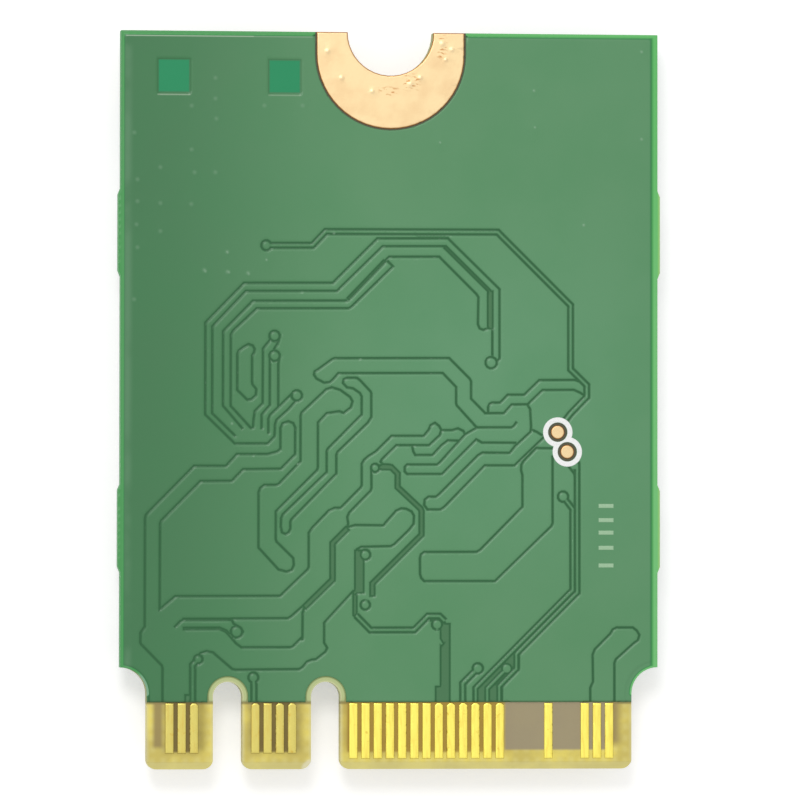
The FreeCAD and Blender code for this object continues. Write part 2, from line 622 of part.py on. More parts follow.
# Broader gaps: width, then centre line.
BROAD_GAPS = [
    (0.17, [(-1.747, 4.105), (-0.219, 5.701)]),
    (0.18, [(2.221, 6.286), (4.095, 4.452)]),
    (0.27, [(4.1, 4.502), (4.101, 2.913)]),
    (0.25, [(-0.447, -2.727), (0.043, -2.725), (0.303, -2.983), (0.303, -3.533), (1.245, -4.41),
            (1.285, -4.509), (1.285, -5.47), (-0.727, -7.457), (-0.727, -7.997)]),
    (0.26, [(-1.727, -5.19), (-2.357, -5.822), (-2.357, -7.302), (-3.527, -8.445)]),
    (0.42, [(-1.262, -6.079), (-1.262, -7.869)]),
    (0.21, [(-1.437, -7.719), (-1.437, -8.72), (-1.227, -8.939)]),
    (0.13, [(-6.423, -8.912), (-8.477, -8.917)]),
    (0.14, [(-8.457, -9.287), (-6.971, -9.278), (-6.702, -9.393), (-6.423, -9.692)]),
    (0.44, [(2.259, -9.061), (2.26, TRACE_END)]),
    (0.22, [(1.949, -11.616), (1.949, TRACE_END)]),
    (0.22, [(1.637, -8.892), (2.038, -8.911), (2.219, -9.111)]),
    (0.28, [(-8.25, -11.95), (-8.25, TRACE_END)]),
]

# Copper-free areas where several thin traces part, as outlines.
CLEARINGS = [
    [(5.089, -10.006), (3.379, -11.694), (3.379, TRACE_END), (4.634, TRACE_END), (4.634, -11.652),
     (5.331, -10.939), (5.331, -10.337), (5.24, -10.156)],
]

# Thin traces: copper width, then centre line. Each has a gap on both sides.
THIN_TRACES = [
    (0.105, [(-5.079, 6.286), (-3.185, 6.299), (-2.646, 6.861), (4.404, 6.881), (7.411, 3.908),
             (7.414, 1.292), (8.076, 0.645), (8.076, 0.164), (7.411, -0.52), (7.09, -0.932)]),
    (0.095, [(7.103, -3.906), (7.495, -4.406), (7.499, -7.724), (3.514, -11.714), (3.514, TRACE_END)]),
    (0.095, [(7.68, -2.782), (7.685, -7.814), (5.18, -10.327), (5.18, -10.929), (4.478, -11.642),
             (4.478, TRACE_END)]),
    (0.115, [(3.599, -10.912), (2.982, -11.524), (2.983, TRACE_END)]),
    (0.115, [(-7.82, -10.534), (-8.056, -10.774), (-8.057, TRACE_END)]),
    (0.115, [(-5.585, -11.279), (-5.561, -11.629), (-5.561, TRACE_END)]),
    (0.10, [(-1.387, -8.76), (-0.807, -9.349), (0.996, -9.344), (1.557, -8.782), (2.028, -8.781),
            (2.239, -8.981)]),
]

# Thin traces inside a wider copper-free area: copper width, then centre line.
INNER_TRACES = [
    (0.10, [(4.789, -10.919), (3.986, -11.733), (3.986, TRACE_END)]),
    (0.10, [(1.928, -9.122), (1.938, -9.633), (2.119, -9.933)]),
    (0.12, [(-1.017, -8.328), (-0.937, -7.968), (-0.937, -7.418)]),
]

# Round via lands with a gap round them: place and copper radius.
LAND_SIDES = 12
LANDS = [
    (-5.079, 6.286, 0.16), (4.142, 1.554, 0.19), (-4.736, 2.602, 0.17), (-4.736, 1.794, 0.17),
    (-3.825, 0.183, 0.17), (-0.618, -2.752, 0.125), (-6.273, -9.422, 0.19), (-7.83, -10.534, 0.13),
    (-5.585, -11.279, 0.16), (-1.017, -8.328, 0.15), (-1.017, -6.288, 0.16), (1.928, -9.122, 0.17),
    (3.599, -10.912, 0.17), (4.789, -10.919, 0.17), (7.103, -3.906, 0.17),
]


def strip_outline(points, half):
    """The outline of a band along a line, with pointed outer corners and square ends."""
    left = []
    right = []
    count = len(points)
    for k, (x, y) in enumerate(points):
        before = points[k - 1] if k else None
        after = points[k + 1] if k + 1 < count else None
        first = before or points[k]
        last = after or points[k]
        normals = []
        for a, b in ((before, points[k]), (points[k], after)):
            if a is not None and b is not None:
                length = math.hypot(b[0] - a[0], b[1] - a[1])
                normals.append(((a[1] - b[1]) / length, (b[0] - a[0]) / length))
        nx = sum(n[0] for n in normals)
        ny = sum(n[1] for n in normals)
        size = math.hypot(nx, ny)
        nx, ny = nx / size, ny / size
        reach = half / max(0.35, nx * normals[0][0] + ny * normals[0][1])
        left.append((x + nx * reach, y + ny * reach))
        right.append((x - nx * reach, y - ny * reach))
    return left + right[::-1]


def flat_face(points):
    corners = [FreeCAD.Vector(x, y, 0) for x, y in points]
    return Part.Face(Part.makePolygon(corners + corners[:1]))


def band(points, width):
    """A flat band along a line, in shorter runs where a single outline would fold over itself."""
    whole = flat_face(strip_outline(points, width / 2))
    if whole.isValid() and whole.Area > 0:
        return [whole]
    faces = []
    for start in range(0, len(points) - 1, 4):
        faces.append(flat_face(strip_outline(points[start:start + 5], width / 2)))
    for x, y in points[4:-1:4]:
        faces.append(disc(x, y, width / 2))
    return faces


def disc(x, y, radius):
    """A round land, drawn with as many flat sides as an etched land of this size shows."""
    angles = [2 * math.pi * (k + 0.5) / LAND_SIDES for k in range(LAND_SIDES)]
    return flat_face([(x + radius * math.cos(a), y + radius * math.sin(a)) for a in angles])


gap = S["gap_width"]
removed = []
for line in GAP_LINES:
    removed += band(line, gap)
removed += band(CAPSULE + CAPSULE[:1], gap)
removed.append(disc(CAPSULE[0][0], CAPSULE[0][1], gap / 2))
for width, line in BROAD_GAPS:
    removed += band(line, width)
for outline in CLEARINGS:
    removed.append(flat_face(outline))
for width, line in THIN_TRACES:
    removed += band(line, width + 2 * gap)
for x, y, radius in LANDS:
    removed.append(disc(x, y, radius + gap))
kept = []
for width, line in THIN_TRACES + INNER_TRACES:
    kept += band(line, width)
for x, y, radius in LANDS:
    kept.append(disc(x, y, radius))
network = removed[0].fuse(removed[1:]).cut(kept).removeSplitter()

gap_plan = doc.addObject("Part::Feature", "gap_plan")
gap_plan.Shape = Part.Compound(network.Faces)
gap_prism = doc.addObject("Part::Extrusion", "gap_prism")
gap_prism.Base = gap_plan
gap_prism.DirMode = "Custom"
gap_prism.Dir = FreeCAD.Vector(0, 0, 1)
gap_prism.LengthFwd = 2 * S["foil_step"]
gap_prism.setExpression("LengthFwd", "2 * dims.foil_step")
gap_prism.Solid = True
lift_to(gap_prism, "groove_floor")
doc.recompute()

# Back mask
# The green film with the copper under it. Etched gaps between the copper areas show as grooves.
film = fuse("mask_back_film", [mask_sheet, foil_sheet])
hand_in("mask_back", cut("mask_back_grooved", film, gap_prism))

# Front mask
# The film under the components, plain because the shield covers most of it.
mask_front = film_body("mask_front_film", "film_thick", "front_height")
hand_in("mask_front", mask_front)
doc.recompute()


def screw_pad(label, z):
    """The bare gold-plated ring segment that the holding screw clamps."""
    body = new_body(label)
    lift_to(body, z)
    sketch = new_sketch(body, label + "_outline")
    low = S["half_length"] - S["pad_drop"]
    arc_outline(sketch, [(-S["pad_half"], S["half_length"])], (0, low), S["pad_half"],
                math.pi, 2 * math.pi, [(S["pad_half"], S["half_length"])])
    pad(body, sketch, label + "_plate", "pad_thick")
    notch = new_sketch(body, label + "_notch")
    circle(notch, (0, S["half_length"]), "notch_radius")
    pocket(body, notch, label + "_notch_pocket", "pad_thick", reverse=True)
    hand_in(label, body)


screw_pad("screw_pad_back", "back_z")
screw_pad("screw_pad_front", "contact_front_z")

# Test pads
# Two round bare pads inside the printed figure-of-eight ring.
test_body = new_body("test_pads")
lift_to(test_body, "back_z")
test_plan = new_sketch(test_body, "test_pad_plan")
for place in TEST_PADS:
    circle(test_plan, place, "test_radius")
pad(test_body, test_plan, "test_pad_plate", "pad_thick")
hand_in("test_pads", test_body)

# Printed ring
# The white figure-of-eight printed round the test pads.
ring_tools = []
for k, (x, y) in enumerate(TEST_PADS):
    ring = doc.addObject("Part::Cylinder", "ring_outer_%d" % k)
    ring.Radius = S["ring_outer"]
    ring.setExpression("Radius", cell("ring_outer"))
    ring.Height = S["ink_thick"]
    ring.setExpression("Height", cell("ink_thick"))
    ring.Placement.Base = FreeCAD.Vector(x, y, S["back_face"])
    ring.setExpression("Placement.Base.z", cell("back_face"))
    well = doc.addObject("Part::Cylinder", "ring_inner_%d" % k)
    well.Radius = S["ring_inner"]
    well.setExpression("Radius", cell("ring_inner"))
    well.Height = S["laminate_thick"]
    well.setExpression("Height", cell("laminate_thick"))
    well.Placement.Base = FreeCAD.Vector(x, y, S["back_z"])
    well.setExpression("Placement.Base.z", cell("back_z"))
    ring_tools.append((ring, well))
ring_discs = fuse("ring_discs", [pair[0] for pair in ring_tools])
ring_wells = fuse("ring_wells", [pair[1] for pair in ring_tools])
print_ring = cut("print_ring_shape", ring_discs, ring_wells)
hand_in("print_ring", print_ring)

# Printed bars
# Five short pale bars at the right edge, a plain mark without lettering.
BAR_ROWS = (-4.28, -4.86, -5.37, -5.99, -6.71)
bars = []
for k, y in enumerate(BAR_ROWS):
    bar = box("print_bar_%d" % k, "bar_length", "bar_width", "ink_thick", (S["bar_x"], y), S["back_face"])
    bar.setExpression("Placement.Base.x", "dims.bar_x - dims.bar_length / 2")
    bar.setExpression("Placement.Base.z", cell("back_face"))
    bars.append(bar)
hand_in("print_bars", fuse("print_bars_shape", bars))
doc.recompute()

# Edge contacts
# Gold-plated strips. Pins count from the left in half pitches; even pins lie on the back side,
# odd pins on the component side. Pins with a pointed top meet a thin trace.
TIP_SLOPE = 0.09
TIP_HALF = 0.07


def contact_row(label, z, foot, runs):
    """Strips of one tongue: each run is a first pin, how many strips and whether they are pointed."""
    body = new_body(label)
    lift_to(body, z)
    top = S["edge_y"] + S["contact_top"]
    low = S["edge_y"] + S[foot]
    half = S["contact_width"] / 2
    for k, (pin, count, pointed) in enumerate(runs):
        x = S["first_pin_x"] + S["contact_pitch"] / 2 * (pin - 1)
        outline = [(x - half, low), (x + half, low), (x + half, top)]
        if pointed:
            outline = [(x - half, low), (x + half, low), (x + half, top - TIP_SLOPE),
                       (x + TIP_HALF, top), (x - TIP_HALF, top), (x - half, top - TIP_SLOPE)]
        else:
            outline.append((x - half, top))
        sketch = new_sketch(body, "%s_run_%d" % (label, k))
        first = closed_lines(sketch, outline)
        sketch.addConstraint(Sketcher.Constraint("Horizontal", first))
        wide = sketch.addConstraint(Sketcher.Constraint("DistanceX", first, 1, first, 2, 2 * half))
        sketch.setExpression("Constraints[%d]" % wide, cell("contact_width"))
        strip = pad(body, sketch, "%s_strip_%d" % (label, k), "pad_thick")
        if count > 1:
            row = body.newObject("PartDesign::LinearPattern", "%s_row_%d" % (label, k))
            row.Originals = [strip]
            row.Direction = (sketch, ["H_Axis"])
            row.Length = S["contact_pitch"] * (count - 1)
            row.setExpression("Length", "dims.contact_pitch * %d" % (count - 1))
            row.Occurrences = count
            body.Tip = row
    hand_in(label, body)


contact_row("contacts_back_left", "back_z", "contact_foot_short", [(2, 2, False), (6, 1, True)])
contact_row("contacts_back_middle", "back_z", "contact_foot_short",
            [(16, 1, True), (18, 1, False), (20, 2, True)])
contact_row("contacts_back_main", "back_z", "contact_foot_long",
            [(32, 7, False), (46, 6, True), (64, 1, False), (70, 3, False)])
contact_row("contacts_front_left", "contact_front_z", "contact_foot_short", [(1, 4, False)])
contact_row("contacts_front_middle", "contact_front_z", "contact_foot_short", [(17, 4, False)])
contact_row("contacts_front_main", "contact_front_z", "contact_foot_long", [(33, 22, False)])
doc.recompute()

# Shield fence
# The folded tin-plated frame soldered to the board: walls, an inward flange that carries the
# lid, a bridge for picking it up, and gaps at the foot of the walls.
CAN = (0.0, S["can_centre"])
fence = new_body("shield_fence")
lift_to(fence, "fence_z")
walls = new_sketch(fence, "fence_walls")
rectangle(walls, CAN, "can_width", "can_length")
inner = -2 * S["sheet_thick"]
rectangle(walls, CAN, "can_width", "can_length", inner, inner)
pad(fence, walls, "fence_wall_pad", "fence_height")
flange = new_sketch(fence, "fence_flange")
rectangle(flange, CAN, "can_width", "can_length")
inner = -2 * S["flange_width"]
rectangle(flange, CAN, "can_width", "can_length", inner, inner)
flange_pad = pad(fence, flange, "fence_flange_pad", "sheet_thick")
bridge = new_sketch(fence, "fence_bridge")
rectangle(bridge, CAN, "can_width", "bridge_width", -2 * S["sheet_thick"])
pad(fence, bridge, "fence_bridge_pad", "sheet_thick")
foot = S["fence_height"] - S["foot_gap_height"]
FOOT_PITCH = 3.60
for plane_name, middle in (("XZ_Plane", 0.0), ("YZ_Plane", S["can_centre"])):
    gaps = new_sketch(fence, "foot_gaps_" + plane_name[:2].lower(), plane_name)
    for k in range(-2, 3):
        u = middle + k * FOOT_PITCH
        half = S["foot_gap_width"] / 2
        top = S["fence_height"] + RUN_OUT
        closed_lines(gaps, [(u - half, foot), (u + half, foot), (u + half, top), (u - half, top)])
    through = fence.newObject("PartDesign::Pocket", "foot_gap_pocket_" + plane_name[:2].lower())
    through.Profile = gaps
    through.Midplane = True
    through.Length = S["board_length"]
    through.setExpression("Length", cell("board_length"))
hand_in("shield_fence", fence)
doc.recompute()

# Shield lid
# The shallow tray that snaps over the fence. The card lies on its flat outer face.
lid = new_body("shield_lid")
lid_plan = new_sketch(lid, "lid_outline")
rectangle(lid_plan, CAN, "lid_width", "lid_length")
lid_block = pad(lid, lid_plan, "lid_block", "lid_skirt")


def lid_upright(a, b, middle):
    return near(a.x, b.x) and near(a.y, b.y)


corners = fillet(lid, lid_block, "lid_corners", "lid_corner", lid_upright)


def lid_bottom(a, b, middle):
    return near(a.z, 0) and near(b.z, 0)


bends = fillet(lid, corners, "lid_bends", "lid_bend", lid_bottom)
well_plan = new_sketch(lid, "lid_well_plan", offset="sheet_thick")
inner = -2 * S["sheet_thick"]
rectangle(well_plan, CAN, "lid_width", "lid_length", inner, inner)
well = pocket(lid, well_plan, "lid_well_pocket", "lid_well", reverse=True)
SLIT_WIDTH = 0.32
SLIT_FROM_CORNER = 0.85
SLIT_RISE = 0.12
SKIRTS = (("XZ_Plane", 0.0, "lid_width"), ("YZ_Plane", S["can_centre"], "lid_length"))
for plane_name, centre, reach in SKIRTS:
    slits = new_sketch(lid, "lid_slits_" + plane_name[:2].lower(), plane_name)
    for side in (-1, 1):
        u = centre + side * (S[reach] / 2 - SLIT_FROM_CORNER)
        half = SLIT_WIDTH / 2
        low = S["sheet_thick"] + SLIT_RISE
        top = S["lid_skirt"] + RUN_OUT
        closed_lines(slits, [(u - half, low), (u + half, low), (u + half, top), (u - half, top)])
    across = lid.newObject("PartDesign::Pocket", "lid_slit_pocket_" + plane_name[:2].lower())
    across.Profile = slits
    across.Midplane = True
    across.Length = S["board_length"]
    across.setExpression("Length", cell("board_length"))

# Grip presses
# Short straight presses in the lid skirt that hold it on the fence.
PRESS_Z = 0.45
PRESS_PITCH = 5.60
presses = []
for side in (-1, 1):
    for k in (-1, 0, 1):
        u = k * PRESS_PITCH
        v = S["can_centre"] + u
        x = side * S["lid_width"] / 2
        y = S["can_centre"] + side * S["lid_length"] / 2
        presses.append(box("press_x", "press_length", "press_depth", "press_height", (u, y), PRESS_Z))
        presses.append(box("press_y", "press_depth", "press_length", "press_height", (x, v), PRESS_Z))
hand_in("shield_lid", cut("lid_pressed", lid, fuse("lid_presses", presses)))
doc.recompute()

# Fence solder
# Bright beads where the foot of the fence is soldered to the board, between its gaps.
beads = []
size = "solder_size"
run = "solder_length"
for k in (-1.5, -0.5, 0.5, 1.5):
    for side in (-1, 1):
        y = S["can_centre"] + side * (S["can_length"] / 2 + S[size] / 2)
        beads.append(hang(box("bead_x", run, size, size, (k * FOOT_PITCH, y), 0.0), size))
        x = side * (S["can_width"] / 2 + S[size] / 2)
        beads.append(hang(box("bead_y", size, run, size, (x, S["can_centre"] + k * FOOT_PITCH), 0.0), size))
hand_in("fence_solder", fuse("fence_solder_shape", beads))
doc.recompute()


# Antenna ports
# Two small push-on coaxial receptacles on the component side, each behind a window in the
# copper: a moulded base, a plated ring with two feet, and a centre pin.
def antenna_port(label, x):
    y = S["window_y"]
    base = box(label + "_base", "port_base", "port_base", "port_base_thick", (x, y), 0.0)
    hang(base, "port_base_thick")
    bore = doc.addObject("Part::Cylinder", label + "_pin_bore")
    bore.Radius = S["port_pin_radius"]
    bore.setExpression("Radius", cell("port_pin_radius"))
    bore.Height = S["front_height"]
    bore.setExpression("Height", cell("front_height"))
    bore.Placement.Base = FreeCAD.Vector(x, y, 0)
    feet = []
    for side in (-1, 1):
        name = "%s_foot_%s" % (label, "a" if side < 0 else "b")
        foot_box = box(name, "port_foot", "port_base", "port_base_thick",
                       (x + side * (S["port_base"] + S["port_foot"]) / 2, y), 0.0)
        feet.append(hang(foot_box, "port_base_thick"))
    hand_in(label + "_base", cut(label + "_base_bored", base, bore))
    tube_height = S["port_height"] - S["port_base_thick"]
    outer = doc.addObject("Part::Cylinder", label + "_tube")
    outer.Radius = S["port_radius"]
    outer.setExpression("Radius", cell("port_radius"))
    outer.Height = tube_height
    outer.setExpression("Height", "dims.port_height - dims.port_base_thick")
    outer.Placement.Base = FreeCAD.Vector(x, y, S["front_height"] - S["port_height"])
    outer.setExpression("Placement.Base.z", "dims.front_height - dims.port_height")
    inside = doc.addObject("Part::Cylinder", label + "_tube_inside")
    inside.Radius = S["port_radius"] - S["port_wall"]
    inside.setExpression("Radius", "dims.port_radius - dims.port_wall")
    inside.Height = S["front_height"]
    inside.setExpression("Height", cell("front_height"))
    inside.Placement.Base = FreeCAD.Vector(x, y, 0)
    flange = box(label + "_flange", "port_base", "port_flange", "port_wall", (x, y), 0.0)
    flange.setExpression("Length", "dims.port_base + 2 * dims.port_foot")
    flange.setExpression("Placement.Base.x", "%.6g - dims.port_base / 2 - dims.port_foot" % x)
    flange.setExpression("Height", cell("port_wall"))
    flange.setExpression("Placement.Base.z", "dims.front_height - dims.port_base_thick - dims.port_wall")
    shell = fuse(label + "_shell_solid", [outer, flange] + feet)
    hand_in(label + "_shell", cut(label + "_shell_hollow", shell, inside))
    pin = doc.addObject("Part::Cylinder", label + "_pin_rod")
    pin.Radius = S["port_pin_radius"]
    pin.setExpression("Radius", cell("port_pin_radius"))
    pin.Height = S["port_pin_height"]
    pin.setExpression("Height", cell("port_pin_height"))
    pin.Placement.Base = FreeCAD.Vector(x, y, S["front_height"] - S["port_pin_height"])
    pin.setExpression("Placement.Base.z", "dims.front_height - dims.port_pin_height")
    hand_in(label + "_pin", pin)


antenna_port("port_left", S["window_left"])
antenna_port("port_right", S["window_right"])
doc.recompute()


# Chips inside the shield
# They stand on the component side and hang down as the card lies.
def chip(label, width, length, thick, centre):
    block = box(label + "_block", width, length, thick, centre, 0.0)
    hang(block, thick)
    hand_in(label, block)
    return block


# Coils stand off the right wall, the radio chip stands off the coils.
coil_x = S["can_inside_x"] - S["coil_wall_gap"] - S["coil_side"] / 2
coil_y = S["can_inside_low"] + S["coil_low_gap"] + S["coil_side"] / 2
radio_x = coil_x - S["coil_side"] / 2 - S["radio_coil_gap"] - S["radio_side"] / 2
radio_y = S["can_inside_low"] + S["radio_low_gap"] + S["radio_side"] / 2
chip("radio_chip", "radio_side", "radio_side", "radio_thick", (radio_x, radio_y))
chip("coil_left", "coil_side", "coil_side", "coil_thick", (coil_x, coil_y))
chip("coil_right", "coil_side", "coil_side", "coil_thick", (coil_x, coil_y + S["coil_pitch"]))

# Each antenna path has a filter at the top wall and a front-end module below it.
filter_y = S["can_inside_high"] - S["filter_top_gap"] - S["filter_length"] / 2
module_y = filter_y - S["filter_length"] / 2 - S["module_filter_gap"] - S["module_length"] / 2
module_x = S["module_wall_gap"] + S["module_width"] / 2 - S["can_inside_x"]
for k, side in enumerate(("left", "right")):
    x = module_x + k * S["module_pitch"]
    chip("front_end_" + side, "module_width", "module_length", "module_thick", (x, module_y))
    chip("filter_" + side, "filter_width", "filter_length", "filter_thick", (x, filter_y))

# Crystal
# A ceramic base with a welded metal lid.
crystal_x = S["can_inside_x"] - S["crystal_wall_gap"] - S["crystal_width"] / 2
crystal_y = S["can_inside_high"] - S["crystal_top_gap"] - S["crystal_length"] / 2
CRYSTAL = (crystal_x, crystal_y)
base = box("crystal_base_block", "crystal_width", "crystal_length", "crystal_base", CRYSTAL, 0.0)
hand_in("crystal_base", hang(base, "crystal_base"))
cover = box("crystal_lid_block", "crystal_width", "crystal_length", "crystal_lid", CRYSTAL, 0.0)
cover.setExpression("Length", "dims.crystal_width - 2 * dims.crystal_rim")
cover.setExpression("Placement.Base.x", "%.6g - dims.crystal_width / 2 + dims.crystal_rim" % crystal_x)
cover.setExpression("Width", "dims.crystal_length - 2 * dims.crystal_rim")
cover.setExpression("Placement.Base.y", "%.6g - dims.crystal_length / 2 + dims.crystal_rim" % crystal_y)
cover.setExpression("Placement.Base.z", "dims.front_height - dims.crystal_base - dims.crystal_lid")
hand_in("crystal_lid", cover)

# Small passives
# Rows of two-terminal chips: capacitor and resistor bodies, with tinned ends.
half_chip = S["chip_length"] / 2 + S["chip_cap"]
row = S["chip_row_pitch"]
radio_left = radio_x - S["radio_side"] / 2
radio_top = radio_y + S["radio_side"] / 2
radio_low = radio_y - S["radio_side"] / 2
near_radio = radio_left - S["passive_gap"] - half_chip
far_radio = near_radio - 2 * half_chip - S["passive_gap"]
near_wall = S["passive_gap"] + half_chip - S["can_inside_x"]
over_radio = radio_top + S["passive_gap"]
coil_top = coil_y + S["coil_pitch"] + S["coil_side"] / 2 + S["passive_gap"]
near_crystal = crystal_x - S["crystal_width"] / 2 - S["passive_gap"] - half_chip
between_ports = S["window_left"] + S["window_pitch"] / 2
column = 2 * half_chip + S["passive_gap"]
CAPACITORS = [(near_wall, radio_low + k * row) for k in range(5)]
CAPACITORS += [(near_radio, radio_low + k * row) for k in range(5)]
CAPACITORS += [(radio_x + k * column, over_radio) for k in (-1.5, -0.5, 0.5, 1.5)]
CAPACITORS += [(coil_x, coil_top + k * row) for k in range(3)]
CAPACITORS += [(between_ports, S["window_y"] + k * row) for k in (-1, 0)]
CAPACITORS += [(S["half_width"] - 4 * column, S["window_y"])]
RESISTORS = [(far_radio, radio_low + (k + 0.5) * row) for k in range(4)]
RESISTORS += [(near_crystal, crystal_y + k * row) for k in (-1, 0, 1)]
RESISTORS += [(S["half_width"] - k * column, S["window_y"]) for k in (3, 2)]


def passives(kind, places, thick):
    """Bodies and end caps of all the chips of one kind, as two pieces."""
    bodies = []
    ends = []
    for k, (x, y) in enumerate(places):
        middle = box("%s_%d" % (kind, k), "chip_length", "chip_width", thick, (x, y), 0.0)
        bodies.append(hang(middle, thick))
        for side in (-1, 1):
            cap = box("%s_cap_%d_%s" % (kind, k, "a" if side < 0 else "b"), "chip_cap", "chip_width", thick,
                      (x + side * (S["chip_length"] + S["chip_cap"]) / 2, y), 0.0)
            ends.append(hang(cap, thick))
    hand_in(kind + "_bodies", fuse(kind + "_bodies_shape", bodies))
    hand_in(kind + "_ends", fuse(kind + "_ends_shape", ends))


passives("capacitor", CAPACITORS, "chip_thick")
passives("resistor", RESISTORS, "resistor_thick")
doc.recompute()

# Hand-over
for obj in doc.Objects:
    if "Invalid" in obj.State or "Error" in obj.State:
        raise ValueError("bad state: " + obj.Name)
for label, obj in nodes:
    shape = obj.Shape
    if shape.isNull() or not shape.isValid() or not shape.Solids:
        raise ValueError("bad shape: " + label)
    shape.exportStep("parts/" + label + ".step")
print(len(nodes), "pieces")
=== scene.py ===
import math

import bpy
import numpy as np
from mathutils import Matrix, Vector
from mathutils.geometry import delaunay_2d_cdt


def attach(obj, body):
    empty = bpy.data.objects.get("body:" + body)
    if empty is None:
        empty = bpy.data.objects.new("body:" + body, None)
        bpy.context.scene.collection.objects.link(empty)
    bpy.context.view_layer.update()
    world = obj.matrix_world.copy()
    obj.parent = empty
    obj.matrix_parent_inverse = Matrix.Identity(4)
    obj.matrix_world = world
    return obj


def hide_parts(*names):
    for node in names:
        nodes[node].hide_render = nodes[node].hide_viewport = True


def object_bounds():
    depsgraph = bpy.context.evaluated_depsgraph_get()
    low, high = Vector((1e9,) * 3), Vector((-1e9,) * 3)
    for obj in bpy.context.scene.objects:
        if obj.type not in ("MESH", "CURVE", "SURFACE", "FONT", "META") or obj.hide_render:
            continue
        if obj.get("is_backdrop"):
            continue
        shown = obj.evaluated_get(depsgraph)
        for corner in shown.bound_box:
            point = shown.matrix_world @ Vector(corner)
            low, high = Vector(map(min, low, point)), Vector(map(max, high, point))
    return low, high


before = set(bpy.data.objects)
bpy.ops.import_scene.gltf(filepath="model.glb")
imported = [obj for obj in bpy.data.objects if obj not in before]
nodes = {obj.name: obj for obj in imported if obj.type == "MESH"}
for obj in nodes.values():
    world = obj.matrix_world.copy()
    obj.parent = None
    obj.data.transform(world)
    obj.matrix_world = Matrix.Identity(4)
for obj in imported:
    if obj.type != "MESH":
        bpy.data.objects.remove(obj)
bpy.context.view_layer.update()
MM = 0.001

# Laminate: the board itself, woven glass cloth in epoxy, routed to shape. Only its tongues and the
# rims of its key notches show. An inner copper plane darkens it behind the contacts, and painted
# shade with a painted gold reflection darkens it between contacts that stand close together. The
# contact edge is bevelled, which leaves its fibres whitish, and a painted glint lies on the middle
# tongue's bevel. Painted shade lines the foot of the mask's end and of the mask's edge round the
# key notches.

LAMINATE = "f0de68"
LAMINATE_DEEP = "d2c05e"
INNER_PLANE = "9d9072"
INNER_PLANE_WARM = "97834e"
SHADE_BETWEEN_PALE = "64500a"
SHADE_BETWEEN_GOLD = "a2801a"
BEVEL = "ece49c"
PAINTED_GLINT = "fbf6e2"
NOTCH_RIM = "bcc88a"
RIM_FOOT_SHADE = "66803f"
UNDER_MASK = "4f4c34"
ROUTED_SIDE = "a3b262"
LONG_SIDE = "3f9c50"
SIDE_STRIP = "e0dcae"
YARN_PITCH = 0.45
WAVE_REPEAT = 0.314
MIDDLE_Z = 1.70
FILM_LOW = 2.05
BOARD_SIDE = 11.0
BOARD_END = -15.0
BEVEL_LENGTH = 0.31
GLINT_CENTRE = (-3.26, -14.84, MIDDLE_Z)
GLINT_RADIUS = 0.40
MASK_END = -12.28
CONTACT_END = -14.30
NOTCH_TOPS = [(-6.625, -12.05, MIDDLE_Z), (-2.625, -12.05, MIDDLE_Z)]
NOTCH_RIM_RADIUS = 1.40
RIM_FOOT_RADIUS = 0.85
NOTCH_WALL_RADIUS = 0.735
TONGUE_SIDES = (-9.925, -7.225, -6.025, -3.225, -2.025, 9.925)
SIDE_STRIP_HALF = 0.06
# Stretches of painted shade, tinted by a painted gold reflection, under and between contacts that stand
# close together: left, right, colour.
SHADE_BETWEEN_CONTACTS = [(-9.10, -7.92, SHADE_BETWEEN_PALE), (-5.60, -4.05, SHADE_BETWEEN_PALE), (-1.75, 4.60, SHADE_BETWEEN_GOLD)]
# Inner copper seen where no contact covers it: left, right, low end, softness, strength, colour.
INNER_PLANES = [(8.9, 9.42, -14.0, 0.22, 0.9, INNER_PLANE_WARM),
                (4.72, 9.05, -14.22, 0.06, 0.95, INNER_PLANE),
                (-9.66, -9.28, -14.12, 0.12, 0.9, INNER_PLANE_WARM)]


def linear(hex_colour):
    """sRGB to linear: c / 12.92 up to 0.04045, and ((c + 0.055) / 1.055) to the power 2.4 above it."""
    c = np.array([int(hex_colour[i:i + 2], 16) for i in (0, 2, 4)]) / 255
    c = np.where(c <= 0.04045, c / 12.92, ((c + 0.055) / 1.055) ** 2.4)
    return (*c.tolist(), 1.0)


def add(tree, kind, inputs=None, **settings):
    """Adds a shader node. Settings are its properties; an input is a value or the socket that feeds it."""
    node = tree.nodes.new("ShaderNode" + kind)
    for name, value in settings.items():
        setattr(node, name, value)
    for name, value in (inputs or {}).items():
        if isinstance(value, bpy.types.NodeSocket):
            tree.links.new(value, node.inputs[name])
        else:
            node.inputs[name].default_value = value
    return node


def start_material(name):
    """A new material, its node tree, and the Object coordinates that its patterns follow."""
    material = bpy.data.materials.new(name)
    material.use_nodes = True
    material.node_tree.nodes.clear()
    return material, material.node_tree, add(material.node_tree, "TexCoord").outputs["Object"]


def end_material(tree, colour, grain, strength, depth, finish):
    """Ends a material: its colour, the grain raised by a bump of that depth in millimetres, its finish."""
    bump = add(tree, "Bump", {"Height": grain, "Strength": strength, "Distance": depth * MM})
    lit = {"Base Color": colour, "Normal": bump.outputs["Normal"], **finish}
    shader = add(tree, "BsdfPrincipled", lit)
    add(tree, "OutputMaterial", {"Surface": shader.outputs[0]})


def past(value, place, soft):
    """The reach of what lies past a place, both in millimetres. A softness below 0 turns it round."""
    return value, (place - soft) * MM, (place + soft) * MM


def box_sides(axes, box, soft):
    """The four reaches of a box (left, right, low, high) with soft sides, all in millimetres."""
    left, right, low, high = box
    return (past(axes["X"], left, soft), past(axes["X"], right, -soft),
            past(axes["Y"], low, soft), past(axes["Y"], high, -soft))


